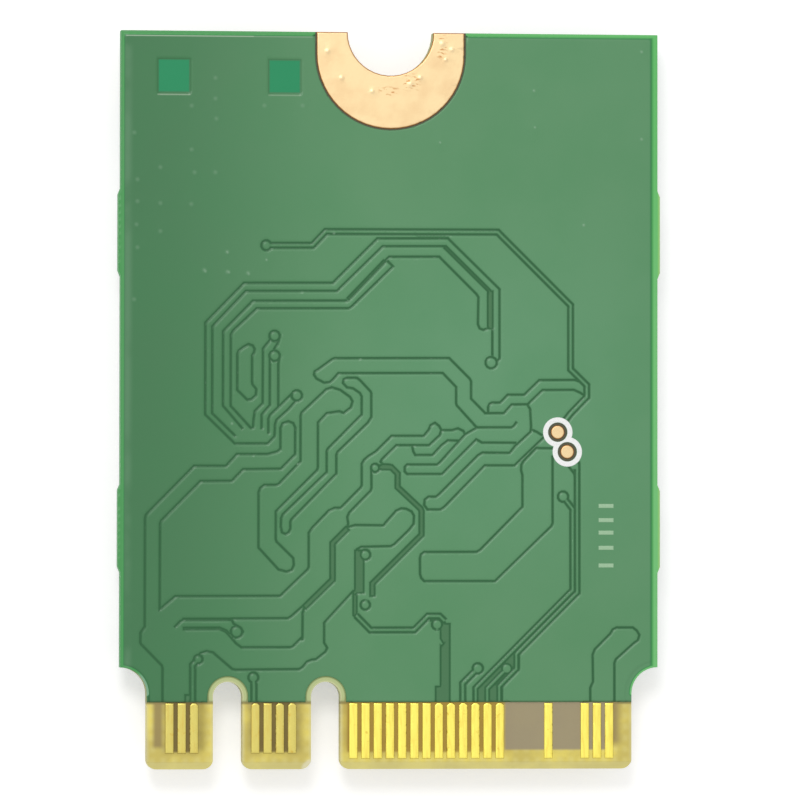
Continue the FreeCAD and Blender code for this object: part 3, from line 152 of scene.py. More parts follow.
def cover(tree, *reaches, strength=1.0):
    """How fully a coat covers: the product of all its reaches and its strength.

    A reach is a cover made before, or (value, start, end): a smoothstep that rises from 0 to 1 while
    the value runs from start to end."""
    shares = [add(tree, "MapRange", dict(enumerate(reach)), interpolation_type="SMOOTHSTEP").outputs[0]
              if isinstance(reach, tuple) else reach for reach in reaches]
    if strength != 1:
        shares.append(strength)
    total = shares[0]
    for share in shares[1:]:
        total = add(tree, "Math", {0: total, 1: share}, operation="MULTIPLY").outputs[0]
    return total


def coat(tree, under, over, *reaches, strength=1.0):
    """One colour with another laid over it, as fully as cover() works out. Each is hex or a socket."""
    shades = [linear(shade) if isinstance(shade, str) else shade for shade in (under, over)]
    share = cover(tree, *reaches, strength=strength)
    return add(tree, "Mix", {0: share, 6: shades[0], 7: shades[1]}, data_type="RGBA").outputs[2]


def per_mm(size):
    """Texture scale at which a pattern on coordinates in metres has features of that many millimetres."""
    return 1 / (size * MM)


def dress(material, slot, *names):
    """Gives CAD nodes a material. The slot is not used."""
    for name in names:
        nodes[name].data.materials.clear()
        nodes[name].data.materials.append(material)


# Glass cloth in clear resin: amber and a little cloudy, crossed by pale yarns, with a satin cut face.
laminate, tree, place = start_material("woven_glass_epoxy_laminate")
axes = add(tree, "SeparateXYZ", {0: place}).outputs
# The wave texture repeats every WAVE_REPEAT units at scale 1.
yarn = {"Vector": place, "Scale": per_mm(YARN_PITCH) * WAVE_REPEAT, "Distortion": 1.2, "Detail": 2.0}
warp = add(tree, "TexWave", yarn, bands_direction="X").outputs["Fac"]
weft = add(tree, "TexWave", yarn, bands_direction="Y").outputs["Fac"]
mottle = add(tree, "TexNoise", {"Vector": place, "Scale": per_mm(1.4), "Detail": 4.0}).outputs["Fac"]
colour = coat(tree, LAMINATE, LAMINATE_DEEP, (mottle, 0.35, 0.65))
colour = coat(tree, colour, BEVEL, warp, weft, strength=0.25)
# Painted shade: a darker band on the laminate along the foot of the mask's end, in the colour of laminate
# under the mask.
colour = coat(tree, colour, UNDER_MASK, past(axes["Y"], MASK_END - 0.075, 0.045), strength=0.65)
above_mask_end = past(axes["Y"], MASK_END + 0.04, 0.06)
on_face = cover(tree, past(axes["Z"], FILM_LOW - 0.0125, 0.0075))
colour = coat(tree, colour, ROUTED_SIDE, above_mask_end, (on_face, 1.0, 0.0), strength=0.6)
colour = coat(tree, colour, UNDER_MASK, above_mask_end, on_face)
outward = add(tree, "Math", {0: axes["X"]}, operation="ABSOLUTE").outputs[0]
colour = coat(tree, colour, LONG_SIDE, past(outward, BOARD_SIDE - 0.07, 0.03))
# Painted highlight: a whitish glint on the middle tongue's bevel, near its corner.
middle = Vector(GLINT_CENTRE) * MM
off = add(tree, "VectorMath", {0: place, 1: middle}, operation="DISTANCE").outputs["Value"]
colour = coat(tree, colour, PAINTED_GLINT, past(off, GLINT_RADIUS, -0.06), strength=0.85)
for top in NOTCH_TOPS:
    middle = Vector(top) * MM
    off = add(tree, "VectorMath", {0: place, 1: middle}, operation="DISTANCE").outputs["Value"]
    rim = (above_mask_end, past(off, NOTCH_RIM_RADIUS, -0.10))
    colour = coat(tree, colour, NOTCH_RIM, *rim)
    # Painted shade: a darker line where the pale rim meets the mask's edge.
    colour = coat(tree, colour, RIM_FOOT_SHADE, *rim, past(off, RIM_FOOT_RADIUS, 0.02), strength=0.7)
    colour = coat(tree, colour, SIDE_STRIP, *rim, past(off, NOTCH_WALL_RADIUS, -0.025), strength=0.5)
plane_top = MASK_END + 0.1
# Painted shade, tinted by a painted gold reflection, spreads round and between the close contacts.
for left, right, shade in SHADE_BETWEEN_CONTACTS:
    shade_around = box_sides(axes, (left - 0.15, right + 0.40, CONTACT_END, plane_top), 0.25)
    colour = coat(tree, colour, shade, *shade_around, strength=0.55)
    shade_behind = box_sides(axes, (left, right, CONTACT_END, plane_top), 0.06)
    colour = coat(tree, colour, shade, *shade_behind, strength=0.85)
for x in TONGUE_SIDES:
    strip = box_sides(axes, (x - SIDE_STRIP_HALF, x + SIDE_STRIP_HALF, -14.7, MASK_END - 0.1), 0.10)
    colour = coat(tree, colour, SIDE_STRIP, *strip, strength=0.55)
for left, right, low, soft, strength, shade in INNER_PLANES:
    plane = box_sides(axes, (left, right, low, plane_top), soft)
    colour = coat(tree, colour, shade, *plane, strength=strength)
bevel = past(axes["Y"], BOARD_END + BEVEL_LENGTH - 0.02, -0.06)
colour = coat(tree, colour, BEVEL, bevel, strength=0.5)
grain = add(tree, "TexNoise", {"Vector": place, "Scale": per_mm(0.12), "Detail": 3.0}).outputs["Fac"]
end_material(tree, colour, grain, 0.25, 0.01, {"Roughness": 0.55, "IOR": 1.55})
dress(laminate, "laminate", "laminate")

# Back mask: green liquid film, flood-coated over the copper foil and cured. It follows the foil, so
# each gap etched between copper areas shows as a sunk line with rolled edges. It is brightest along
# the board's rim, where there is no copper under it.

FILM_FACE = 2.10
GROOVE_FLOOR = 2.07
ROLL_OUT = 0.03
ROLL_IN = 0.07
RIM_ROLL = 0.05
ROLL_FOOT = 0.35
BOARD_TOP = 15.0
PAD_REACH = 3.1
RIM_LEFT = 0.12
RIM_RIGHT = 0.25
RIM_TOP = 0.16
RIM_COVE = 0.09
FOIL_RINGS = (-0.11, -0.06, -0.03, -0.008, 0.015, 0.04, 0.07, 0.12)
RIM_RINGS = (0.012, 0.03, 0.055, 0.10)
ALONG_FOIL = 0.14
ALONG_RIM = 0.3
BACKGROUND = 0.60
FROM_RIM = 0.009
FROM_FOIL = 0.007
CLOSEST = 0.006
TOUCHING = 0.002
INLAND = 0.005
FIELD_FROM = -12.3
SIDES_FROM = 9.9
TOP_FROM = 14.5
NO_RIM = 9.0
FOIL_SEEN = 0.3
RING_CLEAR = 0.9
MITRE_LIMIT = 0.6
TIE_BREAK = 1e-3
NO_AREA = 1e-9
MERGE_WITHIN = 1e-5
SHARP_ANGLE = math.radians(50)
DOME_CORNERS = 10
DOME_RINGS = (0.4, 0.75, 1.1)
GRAIN_RISE = 0.012
HOLE_RISE = 0.006
HOLE_RADIUS = 0.13
HOLE_SHINE = 0.45
OVER_COPPER_LEFT = "417a4e"
OVER_COPPER_RIGHT = "5c9366"
OVER_COPPER_PAINTED_SHEEN = "61996e"
GROOVE_POOL_AND_SHADE = "226034"
WIDE_FLOOR = "46794f"
WINDOW = "148e5b"
RIM = "63bf69"
RIM_LOW = "74c678"
RIM_SHADED = "4a9b56"
RIM_INNER = "35854c"
RIM_FOIL_SIDE = "46a152"
STUB_EDGE = "9ad078"
RIM_COVE_PALE = "7fae8c"
MASK_END_SHADE = "38552e"
PALE_BAND_AND_SPECK_SHINE = "8fb495"
PALE = "c4d6bd"
LEFT_COVE = (-11.0, -9.5, -12.5, -11.15)
RIGHT_COVE = (9.45, 11.3, -12.5, -10.55)
BARE_WINDOWS = (-10.0, -3.5, 12.3, 14.2)
PAINTED_SHEEN_PATCH = (-1.0, 10.0, -5.5, 5.5)
PALE_BAND = (-10.85, -10.6, -11.0, 14.4)
# Lines of light that the foil's edge throws back: box in millimetres, strength.
PALE_LINES = [((-9.53, -8.18, 12.38, 12.42), 0.45), ((-5.01, -3.66, 12.38, 12.42), 0.25),
              ((-10.80, -5.60, 14.78, 14.82), 1.0), ((-5.60, -3.20, 14.78, 14.82), 0.4)]
# Grains caught under the film and film domes over plated holes, each (x, y, radius).
GRAINS = [(-7.57, 5.22, 0.10), (-6.61, 5.18, 0.09), (-5.80, 5.12, 0.09), (-6.66, 5.98, 0.08),
          (-5.07, 5.69, 0.07), (-3.60, 4.37, 0.09), (-6.47, -0.97, 0.08), (-3.78, -2.61, 0.08),
          (-2.31, 6.80, 0.08), (-1.21, 1.65, 0.08), (-0.53, 6.47, 0.07), (7.95, 7.18, 0.08),
          (-5.58, -2.29, 0.07), (5.90, 12.67, 0.08), (5.94, 11.17, 0.07), (10.34, 14.30, 0.09),
          (10.34, 10.72, 0.09), (2.04, 10.52, 0.07), (7.96, 7.20, 0.07)]
HOLES = [(-9.40, 9.43), (-10.33, 8.93), (-10.33, 8.04), (-9.40, 7.97), (-8.14, 7.94), (-10.37, 7.10),
         (-9.40, 6.83), (-10.33, 6.17), (-10.46, 4.06), (-10.46, 10.83), (-8.13, 10.16), (-8.01, 9.23),
         (-7.16, 9.24), (-7.16, 13.08), (-7.16, 12.24), (-7.12, 11.42), (-8.13, 11.94), (-5.16, 11.97),
         (-3.60, 11.98), (-7.61, 5.26), (-6.67, 5.19), (-6.67, 6.00), (-5.82, 5.15)]


def cad_mesh(node):
    """Corners in millimetres and triangles of a CAD node, with its doubled corners merged."""
    mesh = nodes[node].data
    mesh.calc_loop_triangles()
    corners = np.zeros(len(mesh.vertices) * 3)
    mesh.vertices.foreach_get("co", corners)
    triangles = np.zeros(len(mesh.loop_triangles) * 3, int)
    mesh.loop_triangles.foreach_get("vertices", triangles)
    points, index = np.unique(np.round(corners.reshape(-1, 3) / MM, 4), axis=0, return_inverse=True)
    return points, index.reshape(-1)[triangles].reshape(-1, 3)


def cross(u, v):
    """Rows of u.x v.y - u.y v.x, which is above zero where v points to the left of u."""
    return u[:, 0] * v[:, 1] - u[:, 1] * v[:, 0]


def open_sides(faces, size):
    """Sides of triangles that no second triangle shares, as pairs of rows with the face on their left."""
    sides = np.concatenate([faces[:, [0, 1]], faces[:, [1, 2]], faces[:, [2, 0]]])
    return sides[~np.isin(sides[:, 0] * size + sides[:, 1], sides[:, 1] * size + sides[:, 0])]


def outline_at(node, height):
    """Edges round the node's flat faces at that height, from a to b, with the face on their left."""
    points, triangles = cad_mesh(node)
    faces = triangles[(np.abs(points[triangles][:, :, 2] - height) < TOUCHING).all(1)]
    corner = points[faces][:, :, :2]
    turned = cross(corner[:, 1] - corner[:, 0], corner[:, 2] - corner[:, 0]) < 0
    faces[turned] = faces[turned][:, ::-1]
    edges = open_sides(faces, len(points))
    return points[edges[:, 0], :2], points[edges[:, 1], :2]


def distance_to(points, a, b, reach=0.8):
    """Distance from each point to the nearest edge, above zero on the edges' left side, at most reach.

    The plane is cut into tiles of 1 mm, and a tile's points are measured against the edges within
    reach of it. At a shared corner, the edge that the point stands farthest off sideways gives the sign."""
    result = np.full(len(points), float(reach))
    length = np.linalg.norm(b - a, axis=1)
    unit = (b - a) / length[:, None]
    low, high = np.minimum(a, b) - reach, np.maximum(a, b) + reach
    tile = np.floor(points).astype(int)
    key = tile[:, 0] * 1000 + tile[:, 1]
    order = np.argsort(key, kind="stable")
    for part in np.split(order, np.flatnonzero(np.diff(key[order])) + 1):
        corner = tile[part[0]]
        near = ((low < corner + 1) & (high > corner)).all(1)
        if not near.any():
            continue
        away = points[part][:, None] - a[near]
        along = np.clip((away * unit[near]).sum(2), 0, length[near])
        side = unit[near][:, 0] * away[:, :, 1] - unit[near][:, 1] * away[:, :, 0]
        off = np.linalg.norm(away - along[:, :, None] * unit[near], axis=2)
        best = (np.arange(len(part)), (off - TIE_BREAK * np.abs(side)).argmin(1))
        result[part] = np.minimum(off[best], reach) * np.where(side[best] < 0, -1, 1)
    return result


def cut_edges(a, b, step):
    """Edges cut into parts no longer than step: points, joins as pairs of rows, and each point's left.

    At a corner the left direction is the mitre of its two edges' directions m and n, which is
    2 (m + n) / |m + n| ^ 2."""
    corners, index = np.unique(np.round(np.concatenate([a, b]), 4), axis=0, return_inverse=True)
    start, end = index.reshape(2, -1)
    length = np.linalg.norm(b - a, axis=1)
    left = np.stack([a[:, 1] - b[:, 1], b[:, 0] - a[:, 0]], 1) / length[:, None]
    total, count = np.zeros_like(corners), np.zeros(len(corners))
    for ends in (start, end):
        np.add.at(total, ends, left)
        np.add.at(count, ends, 1)
    mitre = total * (count / np.maximum((total ** 2).sum(1), MITRE_LIMIT))[:, None]
    parts = np.ceil(length / step).astype(int)
    edge = np.repeat(np.arange(len(a)), parts)
    part = np.arange(len(edge)) - np.repeat(np.cumsum(parts) - parts, parts)
    inner = len(corners) + np.repeat(np.cumsum(parts - 1) - parts + 1, parts) + part - 1
    first = np.where(part == 0, start[edge], inner)
    last = np.where(part + 1 == parts[edge], end[edge], inner + 1)
    between = part > 0
    share = (part / parts[edge])[between, None]
    points = np.concatenate([corners, a[edge[between]] * (1 - share) + b[edge[between]] * share])
    return points, np.stack([first, last], 1), np.concatenate([mitre, left[edge[between]]])


def offset_rings(points, side, offsets, a, b):
    """Points set off sideways by each offset, without those that come nearer to another edge."""
    rings = [(points + side * offset, RING_CLEAR * abs(offset)) for offset in offsets]
    return np.concatenate([ring[np.abs(distance_to(ring, a, b)) > clear] for ring, clear in rings])


def triangulated(points, joins, a, b):
    """Counter-clockwise triangles over an outline, by constrained Delaunay triangulation.

    Triangles outside the outline join rim points only, so of those only the ones whose middle lies on
    the edges' left side stay. Gives the points, the triangles and the directed edges round them."""
    places = [Vector(point) for point in points.tolist()]
    made = delaunay_2d_cdt(places, joins.tolist(), [], 0, MERGE_WITHIN)
    flat = np.array([point[:] for point in made[0]])
    faces = np.array(made[2])
    turn = cross(flat[faces[:, 1]] - flat[faces[:, 0]], flat[faces[:, 2]] - flat[faces[:, 0]])
    faces[turn < 0] = faces[turn < 0][:, ::-1]
    on_rim = np.abs(distance_to(flat, a, b)) < TOUCHING
    keep = np.abs(turn) > NO_AREA
    doubtful = keep & on_rim[faces].all(1)
    keep[doubtful] = distance_to(flat[faces[doubtful]].mean(1), a, b, reach=30.0) > 0
    return flat, faces[keep], open_sides(faces[keep], len(flat))


def relief(name, outline, shape, base, step, points=(), joins=()):
    """A closed sheet over an outline, its top shaped by a height and its bottom flat at the base.

    The top's corners are the outline's points, cut no longer than step, and the further points, with
    the further joins kept as edges. The bottom's corners are the points round the top, in the same
    order. shape(corners) gives each corner's height and its attributes."""
    rim, rim_joins, _ = cut_edges(*outline, step)
    count = len(rim)
    further = np.concatenate([np.zeros((0, 2)), *points])
    all_joins = np.concatenate([rim_joins, *[pairs + count for pairs in joins]])
    flat, faces, sides = triangulated(np.concatenate([rim, further]), all_joins, *outline)
    edge_rows, edge_sides = np.unique(sides, return_inverse=True)
    under, under_faces, _ = triangulated(flat[edge_rows], edge_sides.reshape(-1, 2), *outline)
    heights, attributes = shape(flat)
    size = len(flat)
    bottom = np.column_stack([under, np.full(len(under), base)])
    corners = np.concatenate([np.column_stack([flat, heights]), bottom])
    top_a, top_b = sides.T
    low_a, low_b = edge_sides.reshape(-1, 2).T + size
    wall = np.concatenate([np.stack([low_a, low_b, top_b], 1), np.stack([low_a, top_b, top_a], 1)])
    mesh = bpy.data.meshes.new(name)
    sheet_faces = np.concatenate([faces, under_faces[:, ::-1] + size, wall])
    mesh.from_pydata((corners * MM).tolist(), [], sheet_faces.tolist())
    mesh.polygons.foreach_set("use_smooth", np.ones(len(mesh.polygons), bool))
    for key, values in attributes.items():
        values = np.concatenate([values, np.full(len(under), values.max())]).astype(np.float32)
        mesh.attributes.new(key, "FLOAT", "POINT").data.foreach_set("value", values)
    mesh.set_sharp_from_angle(angle=SHARP_ANGLE)
    piece = bpy.data.objects.new(name, mesh)
    bpy.context.scene.collection.objects.link(piece)
    return piece


def stand_for(piece, material, node):
    """Shows the piece, dressed, in place of a CAD node."""
    piece.data.materials.append(material)
    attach(piece, "root")
    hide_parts(node)


def smooth(value):
    """The smoothstep 3 v ^ 2 - 2 v ^ 3 of a value v held between 0 and 1."""
    value = np.clip(value, 0, 1)
    return value * value * (3 - 2 * value)


def domes(points, places):
    """Height from 0 to 1 of round domes (x, y, radius): (1 - r ^ 2 / radius ^ 2) ^ 2 inside each."""
    places = np.array(places)
    apart = ((points[:, None] - places[:, :2]) ** 2).sum(2)
    return (np.clip(1 - apart / places[:, 2] ** 2, 0, 1) ** 2).max(1)


def dome_points(places):
    """The middle of each dome and, round it, rings of points at DOME_RINGS shares of its radius."""
    places = np.array(places)
    angle = np.arange(DOME_CORNERS) * math.tau / DOME_CORNERS
    ring = np.stack([np.cos(angle), np.sin(angle)], 1)
    middles, radii = places[:, None, :2], places[:, None, 2:]
    rings = [(middles + radii * share * ring).reshape(-1, 2) for share in DOME_RINGS]
    return np.concatenate([places[:, :2], *rings])


# The foil's edges are the film's face edges that aren't also edges of the film. Board rim is what runs
# outside SIDES_FROM, coves included, or above TOP_FROM.
film_outline = outline_at("mask_back", FILM_LOW)
foil_a, foil_b = outline_at("mask_back", FILM_FACE)
inland = np.abs(distance_to((foil_a + foil_b) / 2, *film_outline)) > INLAND
foil = (foil_a[inland], foil_b[inland])
on_board_rim = [(np.abs(end[:, 0]) > SIDES_FROM) & (end[:, 1] > MASK_END + 0.01) | (end[:, 1] > TOP_FROM)
                for end in film_outline]
board_rim = [end[on_board_rim[0] & on_board_rim[1]] for end in film_outline]
hole_domes = [(x, y, HOLE_RADIUS) for x, y in HOLES]

foil_points, foil_joins, foil_side = cut_edges(*foil, ALONG_FOIL)
rings = offset_rings(foil_points, foil_side, FOIL_RINGS, *foil)
rim_points, _, rim_side = cut_edges(*film_outline, ALONG_RIM)
rim_rings = offset_rings(rim_points, rim_side, RIM_RINGS, *film_outline)
span = [np.arange(-BOARD_SIDE, BOARD_SIDE, BACKGROUND), np.arange(FIELD_FROM, BOARD_TOP, BACKGROUND)]
field = np.stack(np.meshgrid(*span), -1).reshape(-1, 2)
spots = dome_points(GRAINS + hole_domes)
loose = np.concatenate([rings, rim_rings, field, spots])
loose = loose[distance_to(loose, *film_outline, reach=4.0) > FROM_RIM]
loose = loose[np.abs(distance_to(loose, *foil)) > FROM_FOIL]
loose = loose[np.unique(np.round(loose / CLOSEST), axis=0, return_index=True)[1]]


def film_shape(corners):
    """Rises from the groove floor to the face across the foil's edge, and rolls down at its own edge.

    The rise is a smoothstep of the distance to the foil's edge, the roll a quarter circle. "rim" is
    the distance to a board edge over that edge's bright width, the least one of all edges. The top
    edge has no bright width at the screw pad."""
    to_foil = distance_to(corners, *foil)
    to_edge = np.clip(distance_to(corners, *film_outline) / RIM_ROLL, 0, 1)
    rise = smooth((to_foil + ROLL_OUT) / (ROLL_OUT + ROLL_IN))
    height = GROOVE_FLOOR + (FILM_FACE - GROOVE_FLOOR) * rise
    height = FILM_LOW + (height - FILM_LOW) * (ROLL_FOOT + (1 - ROLL_FOOT) * np.sqrt(1 - (1 - to_edge) ** 2))
    grain = domes(corners, GRAINS)
    hole = domes(corners, hole_domes)
    height += GRAIN_RISE * grain + HOLE_RISE * hole
    speck_shine = np.maximum(grain, HOLE_SHINE * hole)
    to_side = np.abs(BOARD_SIDE - np.abs(corners[:, 0]))
    rim = to_side / np.where(corners[:, 0] > 0, RIM_RIGHT, RIM_LEFT)
    rim = np.minimum(rim, np.abs(distance_to(corners, *board_rim)) / RIM_COVE)
    beside_pad = np.where(np.abs(corners[:, 0]) > PAD_REACH, 0.0, NO_RIM)
    rim = np.minimum(rim, np.abs(BOARD_TOP - corners[:, 1]) / RIM_TOP + beside_pad)
    return height, {"foil": np.clip(to_foil, -FOIL_SEEN, FOIL_SEEN), "rim": rim, "speck_shine": speck_shine}


back_mask = relief("back_mask_film", film_outline, film_shape, FILM_LOW, ALONG_RIM,
                   [foil_points, loose], [foil_joins])

# Cured liquid mask: a clear green lacquer with a slight orange-peel gloss. It is deep green over the
# copper and bright where only laminate lies under it. It is darker where it runs down into a gap,
# partly as it pools there and partly from painted shade along the gap's walls. Painted shade darkens
# it towards the left, a painted sheen lightens it right of the middle, and painted highlights lie on
# its grains and domes.
film, tree, place = start_material("cured_liquid_solder_mask")
axes = add(tree, "SeparateXYZ", {0: place}).outputs
foil_edge = add(tree, "Attribute", attribute_name="foil").outputs["Fac"]
rim_edge = add(tree, "Attribute", attribute_name="rim").outputs["Fac"]
speck_shine = add(tree, "Attribute", attribute_name="speck_shine").outputs["Fac"]
# Painted shade: the film over copper is darker towards the board's left and lighter towards its right, as
# the light falls.
colour = coat(tree, OVER_COPPER_LEFT, OVER_COPPER_RIGHT, past(axes["X"], -BOARD_SIDE / 2, BOARD_SIDE / 2))
# Painted sheen: a broad lighter patch right of the middle, where the film reflects the light.
colour = coat(tree, colour, OVER_COPPER_PAINTED_SHEEN, *box_sides(axes, PAINTED_SHEEN_PATCH, 4.5))
cloud = add(tree, "TexNoise", {"Vector": place, "Scale": per_mm(3.0), "Detail": 3.0}).outputs["Fac"]
colour = coat(tree, colour, RIM_INNER, (cloud, 0.3, 0.8), strength=0.18)
window = cover(tree, *box_sides(axes, BARE_WINDOWS, 0.05))
cove = cover(tree, *box_sides(axes, RIGHT_COVE, 0.03))
# Gaps look paler at the windows and can't be made out in the right cove.
paler = add(tree, "MapRange", {0: window, 3: 1.0, 4: 0.45}, interpolation_type="SMOOTHSTEP").outputs[0]
plain = cover(tree, paler, (cove, 1.0, 0.0))
# The gaps darken partly because the film pools over bare laminate there, and partly by painted shade along
# their walls.
colour = coat(tree, colour, GROOVE_POOL_AND_SHADE, (foil_edge, 0.035, -0.02), plain)
colour = coat(tree, colour, WIDE_FLOOR, (foil_edge, -0.045, -0.10), plain)
colour = coat(tree, colour, WINDOW, window, (foil_edge, -0.02, -0.09))
for box, strength in PALE_LINES:
    colour = coat(tree, colour, PALE, *box_sides(axes, box, 0.03), strength=strength)
colour = coat(tree, colour, RIM_INNER, (rim_edge, 1.4, 1.05))
rim_colour = coat(tree, RIM, RIM_LOW, past(axes["Y"], 6.0, -6.0))
rim_colour = coat(tree, RIM_SHADED, rim_colour, past(axes["X"], 0.0, 10.0))
rim_colour = coat(tree, rim_colour, RIM_FOIL_SIDE, (rim_edge, 0.5, 0.95))
rim_colour = coat(tree, rim_colour, STUB_EDGE, past(axes["X"], BOARD_SIDE + 0.03, 0.05))
rim_colour = coat(tree, rim_colour, RIM_COVE_PALE, *box_sides(axes, LEFT_COVE, 0.12))
colour = coat(tree, colour, rim_colour, (rim_edge, 1.08, 0.85))
colour = coat(tree, colour, MASK_END_SHADE, past(axes["Y"], MASK_END + 0.06, -0.04), strength=0.6)
# A paler, blotchy band just inside the board's left edge.
pale_band = (*box_sides(axes, PALE_BAND, 0.15), (cloud, 0.35, 0.6))
colour = coat(tree, colour, PALE_BAND_AND_SPECK_SHINE, *pale_band, strength=0.22)
# Painted highlight: the grains under the film and its domes over plated holes are lightened where light
# catches them.
colour = coat(tree, colour, PALE_BAND_AND_SPECK_SHINE, speck_shine, strength=0.55)
orange_peel = add(tree, "TexNoise", {"Vector": place, "Scale": per_mm(0.5), "Detail": 2.0}).outputs["Fac"]
end_material(tree, colour, orange_peel, 0.12, 0.02, {"Roughness": 0.35, "IOR": 1.42})
stand_for(back_mask, film, "mask_back")

# Screw pad: the bare foil round the screw notch, plated with nickel and thin gold. The screw's head
# bears on it. Its satin face has small solder-like bumps and scratches from handling.

PAD_FACE = 2.095
PAD_GOLD = "e2c99b"
PAD_TARNISH = "c99e72"
PAD_EDGE_SHADE = "a8713a"
PAD_BUMP_HIGHLIGHT = "f0d8b0"
SCUFF = "c08e5e"
SCUFFS = [(1.95, 2.28, 13.95, 14.85), (0.55, 1.20, 12.70, 13.30), (-0.45, 0.30, 12.45, 12.75)]
PAD_BUMPS = [(-2.58, 14.22, 0.14), (-2.01, 13.13, 0.13), (-0.75, 12.59, 0.12), (0.82, 12.91, 0.16),
             (1.22, 13.16, 0.13), (2.12, 14.56, 0.15), (2.52, 14.32, 0.13), (2.27, 13.91, 0.10)]
BUMP_RISE = 0.02
EDGE_ROLL = 0.06
EDGE_FOOT = 0.3
EDGE_RINGS = (0.015, 0.035, 0.06, 0.09)
EDGE_SEEN = 0.5
FROM_EDGE = 0.013
PLATE_CLOSEST = 0.008


def plated_piece(name, node, low, face, material, step, spacing, spots=(), rise=0.0):
    """A plated or printed piece in place of a CAD node, with domes that rise from it at the spots.

    The face rolls down at the edge by a quarter circle over EDGE_ROLL, to the share EDGE_FOOT of its
    height above the low side. Its outline is cut by step, and its face has points at the spacing."""
    outline = outline_at(node, face)
    points, _, side = cut_edges(*outline, step)
    inner = offset_rings(points, side, EDGE_RINGS, *outline)
    corner = np.concatenate(outline)
    span = [np.arange(start, stop, spacing) for start, stop in zip(corner.min(0), corner.max(0))]
    grid = np.stack(np.meshgrid(*span), -1).reshape(-1, 2)
    loose = np.concatenate([inner, grid, *([dome_points(spots)] if spots else [])])
    loose = loose[distance_to(loose, *outline) > FROM_EDGE]
    loose = loose[np.unique(np.round(loose / PLATE_CLOSEST), axis=0, return_index=True)[1]]

    def shape(corners):
        """The low side plus the rolled height plus the rise of the domes."""
        edge = distance_to(corners, *outline)
        roll = np.sqrt(1 - (1 - np.clip(edge / EDGE_ROLL, 0, 1)) ** 2)
        height = low + (face - low) * (EDGE_FOOT + (1 - EDGE_FOOT) * roll)
        dome = domes(corners, spots) if spots else np.zeros(len(corners))
        return height + rise * dome, {"edge": np.clip(edge, 0, EDGE_SEEN), "dome": dome}

    stand_for(relief(name, outline, shape, low, step, [loose]), material, node)


# Immersion gold over nickel: pale, warm and satin, browner where it has been scuffed. Painted shade
# darkens its edges, and painted highlights lighten its bumps.
pad_gold, tree, place = start_material("electroless_nickel_immersion_gold_pad")
axes = add(tree, "SeparateXYZ", {0: place}).outputs
edge = add(tree, "Attribute", attribute_name="edge").outputs["Fac"]
dome = add(tree, "Attribute", attribute_name="dome").outputs["Fac"]
tarnish = add(tree, "TexNoise", {"Vector": place, "Scale": per_mm(0.8), "Detail": 5.0}).outputs["Fac"]
colour = coat(tree, PAD_GOLD, PAD_TARNISH, (tarnish, 0.35, 0.75), strength=0.3)
# Painted shade: the plating darkens along its edges.
colour = coat(tree, colour, PAD_EDGE_SHADE, (edge, 0.06, 0.02))
# Painted highlight: the bumps are lightened where light catches their tops.
colour = coat(tree, colour, PAD_BUMP_HIGHLIGHT, dome, strength=0.4)
slanted = {"Vector": place, "Rotation": (0, 0, 0.6), "Scale": (0.35, 1.0, 1.0)}
streaks = add(tree, "Mapping", slanted).outputs["Vector"]
scratch = add(tree, "TexNoise", {"Vector": streaks, "Scale": per_mm(0.10), "Detail": 2.0}).outputs["Fac"]
for box in SCUFFS:
    colour = coat(tree, colour, SCUFF, *box_sides(axes, box, 0.12), (scratch, 0.54, 0.62))
grit = add(tree, "TexNoise", {"Vector": place, "Scale": per_mm(0.15), "Detail": 4.0}).outputs["Fac"]
end_material(tree, colour, grit, 0.3, 0.01, {"Metallic": 1.0, "Roughness": 0.42})
plated_piece("back_screw_pad", "screw_pad_back", FILM_LOW, PAD_FACE, pad_gold,
             step=0.2, spacing=0.3, spots=PAD_BUMPS, rise=BUMP_RISE)

# Test pads: two bare round pads in the same plating, each in a round opening of the mask. A probe
# touches them when the card is tested.

plated_piece("test_pad_discs", "test_pads", FILM_LOW, PAD_FACE, pad_gold,
             step=0.08, spacing=0.12)

# Printed ring and bars: white epoxy ink, screen-printed on the cured mask and baked. It lies as a
# thin raised coat with soft edges, and the green shows through the thin bars a little.

INK_FACE = 2.112
INK = "ffffff"
BAR_INK = "a3c8a2"


def ink_material(name, colour_hex):
    """Matt ink of one colour, with green showing through the screen's grain and at its edges.

    A real screen's threads stand closer, so the grain is drawn as coarse as it takes to show."""
    material, tree, place = start_material(name)
    edge = add(tree, "Attribute", attribute_name="edge").outputs["Fac"]
    screen = add(tree, "TexNoise", {"Vector": place, "Scale": per_mm(0.1), "Detail": 3.0}).outputs["Fac"]
    colour = coat(tree, colour_hex, OVER_COPPER_RIGHT, (screen, 0.35, 0.75), strength=0.12)
    colour = coat(tree, colour, OVER_COPPER_RIGHT, (edge, 0.02, 0.0), strength=0.5)
    end_material(tree, colour, screen, 0.3, 0.01, {"Roughness": 0.6})
    return material


white_ink = ink_material("screen_printed_epoxy_ink", INK)
thin_ink = ink_material("thin_epoxy_ink_over_mask", BAR_INK)
plated_piece("printed_ring", "print_ring", FILM_FACE, INK_FACE, white_ink,
             step=0.08, spacing=0.12)
plated_piece("printed_bars", "print_bars", FILM_FACE, INK_FACE, thin_ink,
             step=0.1, spacing=0.12)

# Edge contacts: copper strips plated with nickel and hard gold, one row on each side of the tongues.
# The socket's springs wipe along them, so their faces are polished lengthwise. Painted shade darkens
# their sides, and a paler copy of the gold paints the weaker reflection of the left and middle rows.

CONTACT_GOLD = "faeb6f"
CONTACT_PALE = "d4c66c"
CONTACT_SIDE_SHADE = "7a5a14"
CONTACT_WEAR = "c89a2c"


